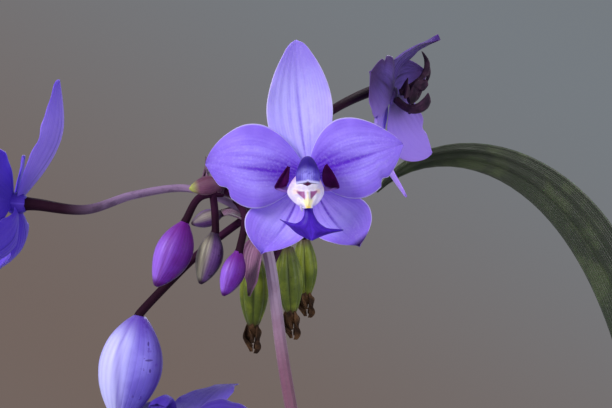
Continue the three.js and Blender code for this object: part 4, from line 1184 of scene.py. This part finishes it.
def add_withered(name, joint, end, finish):
    """The shrivelled flower that still hangs from a pod: six strips, each curled its own way."""
    shell = Shell()
    t, s, tt, ss = lattice(25, 11)
    away = unit(end - joint)
    across, up = (directions[0] for directions in ring_frames(np.stack([joint, end])))
    half = 0.25 + 0.75 * arch(np.clip(0.1 + 0.88 * t, 0, 1))
    for k in range(6):
        turn = math.tau * k / 6 + 0.7
        out = across * math.cos(turn) + up * math.sin(turn)
        swirl = column(1.4 * t) + 0.4 * k
        side = unit(np.cross(away, out) * np.cos(swirl) + out * np.sin(swirl))
        length = np.linalg.norm(end - joint) * (0.75 + 0.25 * math.cos(2.3 * k))
        bulge = 0.7 + 0.8 * arch(t) + 0.25 * np.sin(9 * t + k)
        line = joint - away * 1.2 + away * column((length + 1.2) * t) + out * column(bulge)
        lift = 0.35 * np.sin(7 * tt + 3 * ss + k) + 0.3 * ss**2
        shell.skin(blade_rings(line, side, [half, half], lift, np.full_like(tt, 0.35), s), t)
    shell.finish(f"capsule_{name}_withered", finish, "capsule")


def add_sleeve(shell, line, lean, radius, thick, point, torn, seed, fresh):
    """A thin sleeve round a line, open above, with its upper edge drawn out to a point on one side."""
    sides = 40
    angles = angles_round(sides)
    levels = np.linspace(0, 1, 25)
    reach = 1 - point * (0.5 - 0.5 * np.cos(angles - lean)) ** 0.7
    reach = reach * (1 - torn * (0.5 + 0.5 * np.sin(5 * angles + seed) * np.sin(11 * angles + 2 * seed)))
    curve = through(line)
    read_across, read_up = (through(directions) for directions in ring_frames(curve(levels)))

    def skin(inset):
        for level in levels:
            share = level * reach
            out = read_across(share) * column(np.cos(angles)) + read_up(share) * column(np.sin(angles))
            r = radius(share) - inset + 0.04 * np.sin(9 * angles + seed) * share
            yield curve(share) + out * column(r)

    rings = [*skin(0), *reversed([*skin(thick)])]
    shell.loft(rings, around(sides), np.concatenate([levels, levels[::-1], [0]]), wrap=True, fresh=fresh)


def add_sheaths(finish):
    """Clasping sheaths on the flower stems, each flaring a little at its open, pointed end."""
    shell = Shell()
    for name, path in stem_path.items():
        for k, foot in enumerate(SHEATH[name]):
            bare = float(stem_radius(name, np.array([foot + SHEATH["share"] + 0.01]))[0])

            def radius(a, bare=bare):
                return bare + 0.35 + 0.9 * a**1.6 + 0.25 * (a < 0.02)

            span = np.linspace(foot - 0.004, foot + SHEATH["share"] * 1.25, 12)
            add_sleeve(shell, path(span), 1.3 + 2.2 * k, radius, 0.3, 0.55, 0.0, k, 0.3)
    shell.finish("stem_sheaths", finish, "stem")


# Leaves

def leaf_track(length, azimuth, rise, bulb, **_):
    """A leaf's mid line, stepped out from its bulb's neck."""
    steps = 240
    t = (np.arange(steps) + 0.5) / steps
    turn, pitch = (np.radians(first + (last - first) * t**late) for first, last, late in (azimuth, rise))
    x, y = BULBS[bulb]
    from_axis = BULB["neck_r"] + LEAF_STALK["thick"] / 2 + LEAF_STALK["clearance"]
    start = math.radians(azimuth[0])
    foot = np.array([x + from_axis * math.cos(start), y + from_axis * math.sin(start),
                     SOIL_TOP + BULB["shoulder"] + 2])
    ahead = np.stack([np.cos(pitch) * np.cos(turn), np.cos(pitch) * np.sin(turn), np.sin(pitch)], 1)
    points = np.vstack([foot, foot + np.cumsum(ahead * length / steps, axis=0)])
    shares = np.linspace(0, 1, steps + 1)
    return lambda t: np.stack([np.interp(t, shares, values) for values in points.T], 1)


def add_leaf(number, shape, finish):
    """A channelled stalk that opens into a long pleated blade with a wavy rim."""
    shell = Shell()
    t, s, tt, ss = lattice(141, 61)
    out = np.abs(ss)
    spine = leaf_track(**shape)(t)
    ahead = headings(spine)
    opened = arch(np.clip((t - LEAF_STALK["share"]) / (1 - LEAF_STALK["share"]), 0, 1) ** 0.75)
    opened = opened ** shape.get("full", 1.1)
    start, end, _ = shape["azimuth"]
    square = np.radians(start + (shape.get("facing", end) - start) * smoothstep(t, 0, 0.6))
    level = np.stack([np.sin(square), -np.cos(square), np.zeros_like(t)], 1)
    level = unit(level - column(np.sum(level * ahead, 1)) * ahead)
    roll = np.radians(shape["roll"] * t ** shape.get("late", 2) - shape.get("level", 0) * arch(t))
    side = level * column(np.cos(roll)) + np.cross(ahead, level) * column(np.sin(roll))
    half = LEAF_STALK["half"] * (1 - t) + 0.1 * t + shape["half"] * opened
    wide = column(opened)
    channel = 0.35 * LEAF_STALK["half"] * (1 - wide) * (1 - smoothstep(tt, 0.4, 1))
    channel = channel + LEAF["fold"] * shape["half"] * wide
    pleats = -LEAF["pleat"] * np.cos(LEAF["pleats"] * math.pi * (ss + 1))
    small = np.abs((ss * 9 + 0.5) % 1.0 - 0.5) * 4 - 1
    lift = channel * out + (pleats + 0.28 * small) * wide
    lift += 0.9 * np.sin(tt * 26 + number * 1.7 + 2.0 * np.sign(ss)) * out**4 * wide
    lift += 0.5 * np.sin(tt * 9 + number) * wide * out
    thick = np.interp(tt, [0, LEAF_STALK["share"], 1], [LEAF_STALK["thick"], 1.0, 0.7]) * (1 - 0.4 * out**3)
    shell.skin(blade_rings(spine, side, [half, half], lift, thick, s), t,
               age=(number * 0.37) % 1.0, dark=shape.get("dark", 0.0))
    shell.finish(f"leaf_{number}_blade", finish, "leaf", f"leaf_{number}")


# Bulbs, pot and bark mix

def turned(profile, sides, x=0.0, y=0.0, out_of_round=0.0, seed=0.0):
    """Rings of a profile of (radius, height) pairs turned about an upright axis."""
    angles = angles_round(sides)
    radii, heights = np.array(profile, float).T
    points = np.zeros((len(radii), sides, 3))
    points[..., :2] = radii[:, None, None] * np.stack([np.cos(angles), np.sin(angles)], 1)[None]
    points[..., 2] = column(heights)
    if out_of_round:
        points[..., :2] *= 1 + out_of_round * rough(points, 0.06, seed)[..., None]
    return points + (x, y, 0)


def add_bulb(number, spot, finish):
    """A squat corm with the ringed scars of old leaves, narrowing to its neck."""
    shell = Shell()
    r, foot, shoulder, neck_r, neck_top = BULB.values()
    outline = [(0.3, foot), (r * 0.62, foot + 1), (r * 0.92, foot + 9), (r, 1), (r * 0.88, 11),
               (neck_r + 3, shoulder - 3), (neck_r, shoulder + 1), (neck_r - 0.8, neck_top), (0.3, neck_top)]
    profile = spread(rounded(outline, 5), 1.0)
    v = np.linspace(0, 1, len(profile))
    scars = bell((((v * BULB_SCARS) % 1.0) - 0.5) / 0.06)
    profile[:, 0] -= 0.35 * scars * (profile[:, 0] > 3)
    profile[:, 1] += SOIL_TOP
    shell.loft(turned(profile, 64, *spot, 0.05, number * 3.1), around(64), v)
    shell.finish(f"bulb_{number}_corm", finish, "bulb", f"pseudobulb_{number}")


# Layers of sheaths round a bulb: foot and top above the mix, radii, how torn and how fresh each is
HUSKS = [
    (-2, 14, [(0, 15.4), (0.5, 15.2), (1, 12.8)], 0.3, 0.0),
    (6, 27, [(0, 14.4), (0.5, 11.6), (1, 10.2)], 0.3, 0.1),
    (14, 62, [(0, 11.2), (0.3, 9.6), (1, 8.4)], 0.0, 0.9),
]


def add_husks(finish):
    """Dry torn sheaths round the bulbs, and green ones round their necks that hold the leaf stalks."""
    shell = Shell()
    for k, (x, y) in enumerate(BULBS):
        for layer, (low, high, radii, torn, fresh) in enumerate(HUSKS):
            line = [(x, y, SOIL_TOP + low + (high - low) * w) for w in (0, 0.33, 0.67, 1)]
            lean, seed = 1.9 * k + 2.4 * layer, 1.3 * k + layer
            add_sleeve(shell, line, lean, stops(radii), 0.4, 0.45, torn, seed, fresh)
    shell.finish("bulb_husks", finish, "bulb")


def pot_radius(z):
    return POT["base_r"] + (POT["top_r"] - POT["base_r"]) * z / POT["height"]


def add_pot(finish):
    """A clay pot with a soft-edged rim band and faint throwing lines."""
    def inner(z):
        return pot_radius(z) - POT["wall"]

    shell = Shell()
    base, drain, floor, top = (POT[key] for key in ("base_r", "drain_r", "floor", "height"))
    rim, bevel = RIM["radius"], RIM["bevel"]
    rim_foot, mouth = top - RIM["height"], top - bevel
    outline = [(drain + 0.5, 0), (base - 2, 0), (base, 2), (pot_radius(rim_foot), rim_foot),
               (rim - bevel, rim_foot + 2), (rim, mouth), (rim - bevel, top), (inner(mouth) + bevel, top),
               (inner(mouth), mouth), (inner(floor + bevel), floor + bevel), (inner(floor) - bevel, floor),
               (drain, floor), (drain, 0.5)]
    profile = spread(rounded(outline, 2.2), 2.5)
    throwing = 0.14 * np.sin(profile[:, 1] * 1.3) + 0.1 * np.sin(profile[:, 1] * 2.9 + 1)
    profile[:, 0] += np.where(profile[:, 0] > base - 6, throwing, 0)
    profile[:, 0] = np.minimum(profile[:, 0], rim)
    sides = 192
    shell.loft(turned(profile, sides, out_of_round=0.004), around(sides), around(len(profile)), wrap=True)
    shell.finish("clay_pot", finish, "pot", "pot")


# Waves of the bark mix's top: height, how fast each runs along x and y, and where it starts
MIX_WAVES = ((0.8, 0.19, 0.16, 1.3), (0.8, 0.19, -0.16, 1.3), (1.2, 0.41, -0.37, 0), (0.9, 0.52, 0.33, 1.6))


def mix_top(x, y):
    """The height of the bark mix."""
    return SOIL_TOP - 1.2 + sum(h * np.sin(kx * x + ky * y + phase) for h, kx, ky, phase in MIX_WAVES)


def add_mix(finish):
    """The bark mix under the chips."""
    shell = Shell()
    sides = 120
    edge = pot_radius(SOIL_TOP) - POT["wall"] - 0.1
    floor_r = POT["base_r"] - POT["wall"] - 1
    wall = [(floor_r * 0.3, POT["floor"] + 0.4), (floor_r, POT["floor"] + 0.4), (edge - 8, 90)]
    rings = [*turned(wall, sides)]
    for w in np.linspace(1, 0.02, 46):
        ring = turned([(edge * w, 0)], sides)[0]
        ring[:, 2] = mix_top(ring[:, 0], ring[:, 1]) + 0.9 * rough(ring, 0.35) - 1.5 * (w > 0.97)
        rings.append(ring)
    shell.loft(rings, around(sides), around(len(rings) - 1))
    shell.finish("bark_mix", finish, "soil", "soil")


# Geometry node trees, whose lengths are in metres

def new_tree(name, **inputs):
    """A geometry tree with a Finish and the named inputs, each with its default."""
    tree = bpy.data.node_groups.new(name, "GeometryNodeTree")

    def socket(label, kind, way="INPUT"):
        return tree.interface.new_socket(label, in_out=way, socket_type="NodeSocket" + kind)

    socket("Geometry", "Geometry")
    for label, default in inputs.items():
        socket(label, "Int" if isinstance(default, int) else "Float").default_value = default
    socket("Finish", "Material")
    socket("Geometry", "Geometry", "OUTPUT")
    return Graph(tree), tree.nodes.new("NodeGroupInput").outputs, tree.nodes.new("NodeGroupOutput").inputs


def end_tree(g, ins, outs, instances):
    """Realises instances, roughs them up where they lie, and gives them their finish."""
    real = g.out("GeometryNodeRealizeInstances", {"Geometry": instances})
    if "Roughness" in ins:
        values = {"Vector": g.out("GeometryNodeInputPosition"), "Scale": ins["Lumps"], "Detail": 2.0}
        lumps = g.node("ShaderNodeTexNoise", values).outputs["Color"]
        values = {0: g.vector("SUBTRACT", lumps, (0.5, 0.5, 0.5)), "Scale": ins["Roughness"]}
        push = g.out("ShaderNodeVectorMath", values, operation="SCALE")
        real = g.out("GeometryNodeSetPosition", {"Geometry": real, "Offset": push})
    g.feed(outs["Geometry"], g.out("GeometryNodeSetMaterial", {"Geometry": real, "Material": ins["Finish"]}))
    return g.tree


def random_value(g, low, high, seed):
    node = g.node("FunctionNodeRandomValue", data_type="FLOAT_VECTOR" if isinstance(low, tuple) else "FLOAT")
    for socket, value in zip([socket for socket in node.inputs if socket.enabled], (low, high)):
        g.feed(socket, value)
    g.feed(node.inputs["Seed"], seed)
    return next(socket for socket in node.outputs if socket.enabled)


def strew(g, ins, outs, spots, thing, turn, smallest, largest):
    """A copy of a thing at each spot, grown at random and with a tint of its own."""
    grow = random_value(g, smallest, largest, g.math("ADD", ins["Seed"], 1.0))
    values = {"Points": spots.outputs["Points"], "Instance": thing, "Rotation": turn, "Scale": grow}
    strewn = g.out("GeometryNodeInstanceOnPoints", values)
    tint = random_value(g, 0.0, 1.0, g.math("ADD", ins["Seed"], 2.0))
    values = {"Geometry": strewn, "Name": "tint", "Value": tint}
    tinted = g.out("GeometryNodeStoreNamedAttribute", values, data_type="FLOAT", domain="INSTANCE")
    return end_tree(g, ins, outs, tinted)


def bits_tree():
    """Loose bits strewn on a surface: lumps of several sizes, each turned its own way."""
    g, ins, outs = new_tree("strewn_bits", Spacing=0.003, Density=60000.0, Length=0.01, Width=0.006,
                            Height=0.003, Lumps=300.0, Roughness=0.002, Seed=1)
    values = {"Mesh": ins["Geometry"], "Distance Min": ins["Spacing"], "Density Max": ins["Density"],
              "Seed": ins["Seed"]}
    spots = g.node("GeometryNodeDistributePointsOnFaces", values, distribute_method="POISSON")
    size = g.out("ShaderNodeCombineXYZ", {0: ins["Length"], 1: ins["Width"], 2: ins["Height"]})
    lump = g.out("GeometryNodeMeshCube", {"Size": size, "Vertices X": 4, "Vertices Y": 3, "Vertices Z": 2})
    turn = random_value(g, (-0.6, -0.6, 0.0), (0.6, 0.6, math.tau), ins["Seed"])
    return strew(g, ins, outs, spots, lump, turn, (0.45, 0.5, 0.5), (1.25, 1.3, 1.6))


def fuzz_tree():
    """Short soft hairs that stand out from a surface."""
    g, ins, outs = new_tree("soft_hairs", Density=400000.0, Length=0.0004, Thickness=0.00003, Seed=1)
    values = {"Mesh": ins["Geometry"], "Density": ins["Density"], "Seed": ins["Seed"]}
    spots = g.node("GeometryNodeDistributePointsOnFaces", values)
    values = {"Vertices": 3, "Radius Top": 0.0, "Radius Bottom": ins["Thickness"], "Depth": ins["Length"]}
    hair = g.node("GeometryNodeMeshCone", values, fill_type="NONE").outputs["Mesh"]
    tilt = random_value(g, (-0.5, -0.5, 0.0), (0.5, 0.5, 6.0), ins["Seed"])
    values = {"Rotation": spots.outputs["Rotation"], "Rotate By": tilt}
    turn = g.out("FunctionNodeRotateRotation", values, rotation_space="LOCAL")
    return strew(g, ins, outs, spots, hair, turn, 0.5, 1.3)


def root_tree():
    """Cords of a given thickness along the paths that they are given as edges."""
    g, ins, outs = new_tree("cords_on_paths", Thickness=0.001, Sides=8)
    line = g.out("GeometryNodeMeshToCurve", {"Mesh": ins["Geometry"]})
    ring = g.out("GeometryNodeCurvePrimitiveCircle", {"Resolution": ins["Sides"], "Radius": ins["Thickness"]})
    cord = g.out("GeometryNodeCurveToMesh", {"Curve": line, "Profile Curve": ring, "Fill Caps": True})
    return end_tree(g, ins, outs, g.out("GeometryNodeSetShadeSmooth", {0: cord}))


def add_grown(name, tree, host_mesh, finish, slot, **values):
    """Runs a geometry tree on a mesh with the values given, and adds its result as a plain piece."""
    host = link(name + "_host", host_mesh)
    modifier = host.modifiers.new("grow", "NODES")
    modifier.node_group = tree
    values["Finish"] = finish
    for item in tree.interface.items_tree:
        if item.in_out == "INPUT" and item.name in values:
            modifier[item.identifier] = values[item.name]
    depsgraph = bpy.context.evaluated_depsgraph_get()
    mesh = bpy.data.meshes.new_from_object(host.evaluated_get(depsgraph), depsgraph=depsgraph)
    mesh.name = name
    bpy.data.objects.remove(host)
    add_piece(name, mesh, slot)


def strewing_ground():
    """The open ring of bark mix that chips lie on, clear of the bulbs, the stems and the pot's wall."""
    places = np.arange(-80, 80.1, 2.0)
    xs, ys = np.meshgrid(places, places, indexing="ij")
    clear = np.hypot(xs, ys) < pot_radius(SOIL_TOP) - POT["wall"] - 6
    feet = [(*spot, BULB["radius"] + 2) for spot in BULBS]
    feet += [(*points[0][:2], STEM["root_r"] + 3.5) for points in STEMS.values()]
    for x, y, radius in feet:
        clear &= np.hypot(xs - x, ys - y) > radius
    points = np.stack([xs, ys, mix_top(xs, ys) + 0.6], -1).reshape(-1, 3)
    n = len(places)
    faces = [[i * n + j, (i + 1) * n + j, (i + 1) * n + j + 1, i * n + j + 1]
             for i in range(n - 1) for j in range(n - 1) if clear[i:i + 2, j:j + 2].all()]
    return bare_mesh("ground", points, [], faces)


def fuzzy_skin():
    """A bare copy of the upper stems' surfaces for the hairs to stand on."""
    shell = Shell()
    t = np.linspace(0.5, 0.98, 90)
    for name, path in stem_path.items():
        shell.tube(path(t), np.repeat(column(stem_radius(name, t)), 12, 1), t)
    return bare_mesh("fuzzy_skin", np.vstack(shell.points), [], shell.faces)


def root_paths():
    """Short stout roots that leave each bulb's side and dive into the mix."""
    draw = np.random.default_rng(7)
    points, edges = [], []
    for x, y in BULBS:
        for k in range(7):
            turn = math.tau * (k + draw.uniform(-0.3, 0.3)) / 7
            out = np.array([math.cos(turn), math.sin(turn), 0])
            side = np.array([-out[1], out[0], 0])
            reach, drift = draw.uniform(9, 15), draw.uniform(-4, 4)
            start = np.array([x, y, SOIL_TOP + draw.uniform(0.5, 3.5)]) + out * (BULB["radius"] - 1.5)
            line = through([start, start + out * reach * 0.35 + (0, 0, 0.6),
                            start + out * reach * 0.75 + side * drift * 0.5 - (0, 0, 1.8),
                            start + out * reach + side * drift - (0, 0, 8)])(np.linspace(0, 1, 16))
            edges += [(len(points) + i, len(points) + i + 1) for i in range(len(line) - 1)]
            points += line.tolist()
    return bare_mesh("root_lines", points, edges, [])


# The set. Lamps and floor are in metres.

CAMERA = {"at": (-45, -533, 600), "lens": 145, "sensor": 36}
# Each lamp: where it is, what it aims at, its size, power and colour
LAMPS = {
    "key": ((-1.5, -1.3, 1.6), (0, 0, 0.45), 1.0, 44, (1.0, 0.98, 0.96)),
    "fill": ((1.5, -1.1, 0.9), (0, 0, 0.35), 1.4, 12, (0.92, 0.95, 1.0)),
    "back": ((0.5, 1.6, 1.5), (0, 0, 0.4), 1.0, 12, (0.95, 0.97, 1.0)),
}
FLOOR_R = 1.6


def add_camera():
    data = bpy.data.cameras.new("portrait")
    data.lens, data.sensor_width = CAMERA["lens"], CAMERA["sensor"]
    data.clip_start, data.clip_end = 0.01, 50
    camera = link("portrait", data)
    camera.location = Vector(CAMERA["at"]) * MM
    camera.rotation_euler = (math.radians(90), 0, 0)
    bpy.context.scene.camera = camera


def add_lamp(name, at, aim, size, power, color):
    data = bpy.data.lights.new(name, "AREA")
    data.shape, data.size = "DISK", size
    data.energy, data.color = power, color
    lamp = link(name, data)
    lamp.location = at
    lamp.rotation_euler = (Vector(aim) - Vector(at)).to_track_quat("-Z", "Y").to_euler()


def add_world():
    """A pale grey room: the camera sees it darker than it lights the plant, warm at the lower left and
    cool at the upper right."""
    world = bpy.data.worlds.new("room")
    world.use_nodes = True
    g = Graph(world.node_tree)
    light = world.node_tree.nodes["Background"]
    light.inputs["Color"].default_value = (0.93, 0.96, 1.0, 1)
    light.inputs["Strength"].default_value = 0.45
    heading = g.node("ShaderNodeSeparateXYZ", {0: g.node("ShaderNodeTexCoord").outputs["Generated"]}).outputs
    slope = g.math("ADD", heading[2], g.both(heading[0], 0.6))
    tint = g.mix(g.range(slope, -0.13, 0.13), (0.17, 0.13, 0.115, 1), (0.18, 0.2, 0.22, 1))
    seen = g.out("ShaderNodeBackground", {"Color": tint, "Strength": 1.0})
    ray = g.node("ShaderNodeLightPath").outputs["Is Camera Ray"]
    room = g.out("ShaderNodeMixShader", {0: ray, 1: light.outputs[0], 2: seen})
    g.feed(world.node_tree.nodes["World Output"].inputs["Surface"], room)
    bpy.context.scene.world = world


def add_floor():
    """A pale round floor that fades away at its edge."""
    mesh = bpy.data.meshes.new("floor")
    ring = [(FLOOR_R * math.cos(a), FLOOR_R * math.sin(a), -0.4 * MM) for a in angles_round(96)]
    mesh.from_pydata(ring, [], [list(range(len(ring)))])
    f = Finish("pale_floor", 0.8, 0.2)
    far = f.node("ShaderNodeVectorMath", {0: f.place}, operation="LENGTH").outputs["Value"]
    f.feed(f.shader["Alpha"], f.fall(far, 0.5 * FLOOR_R, 0.98 * FLOOR_R))
    f.color = f.mix(f.mottle(6, 0.3, 0.7), (0.62, 0.61, 0.6, 1), (0.66, 0.65, 0.64, 1))
    mesh.materials.append(f.done())
    floor = link("floor", mesh)


def add_capsules():
    pod = capsule_finish()
    dry = plain_finish("withered_brown", 0.8, 0.2, ("#2a1a12", "#6a4a30"), (300, 0.35, 0.7), (1500, 0.12),
                       ("#1c100c", "veins", (10, 3), 0.4))
    for name, shape in CAPSULES.items():
        start, end = np.array(shape["start"], float), np.array(shape["end"], float)
        joint = start + (end - start) * POD_SHARE
        add_pod(name, shape, joint, pod)
        add_withered(name, joint, end, dry)


def add_ground_cover():
    """Bark chips and bits of pumice on the mix."""
    bits, ground = bits_tree(), strewing_ground()
    pumice = plain_finish("pumice", 0.95, 0.15, ("#b8b0a2", "#ece6da"), (500, 0.35, 0.65), (900, 0.6))
    add_grown("bark_chips", bits, ground.copy(), chip_finish(), "soil", Spacing=0.0035, Density=90000.0,
              Length=0.010, Width=0.0065, Height=0.0032, Lumps=260.0, Roughness=0.0035, Seed=3)
    add_grown("pumice_bits", bits, ground, pumice, "soil", Spacing=0.012, Density=9000.0, Length=0.0045,
              Width=0.004, Height=0.0035, Lumps=400.0, Roughness=0.002, Seed=11)


def main():
    bpy.context.scene.view_settings.view_transform = "Standard"
    add_camera()
    add_world()
    for name, lamp in LAMPS.items():
        add_lamp(name, *lamp)
    add_floor()

    add_blooms()
    stem = stem_finish()
    for name in STEMS:
        add_stem(name, stem)
    add_stalks(stalk_finish())
    add_bracts(bract_finish())
    bud_looks = {look: bud_finish(look) for look in BUD_LOOKS}
    for name, shape in BUDS.items():
        add_bud(name, shape, bud_looks[shape["look"]])
    add_capsules()
    husk = husk_finish()
    add_sheaths(husk)

    leaf = leaf_finish()
    for number, shape in LEAVES.items():
        add_leaf(number, shape, leaf)
    bulb = bulb_finish()
    for number, spot in enumerate(BULBS, 1):
        add_bulb(number, spot, bulb)
    add_husks(husk)
    add_pot(clay_finish())
    add_mix(plain_finish("bark_mix", 0.95, 0.15, ("#1c120c", "#46301f"), (150, 0.35, 0.65), (500, 0.9)))

    add_ground_cover()
    add_grown("stem_hairs", fuzz_tree(), fuzzy_skin(), fuzz_finish(), "stem", Density=700000.0,
              Length=0.00032, Thickness=0.000024, Seed=5)
    root = plain_finish("root_skin", 0.8, 0.2, ("#9c8a66", "#d8cfb4"), (180, 0.35, 0.65), (900, 0.2),
                        ("#5c4a30", "mottle", (60, 0.5, 0.6), 0.6))
    add_grown("bulb_roots", root_tree(), root_paths(), root, "bulb", Thickness=0.0011, Sides=8)


main()
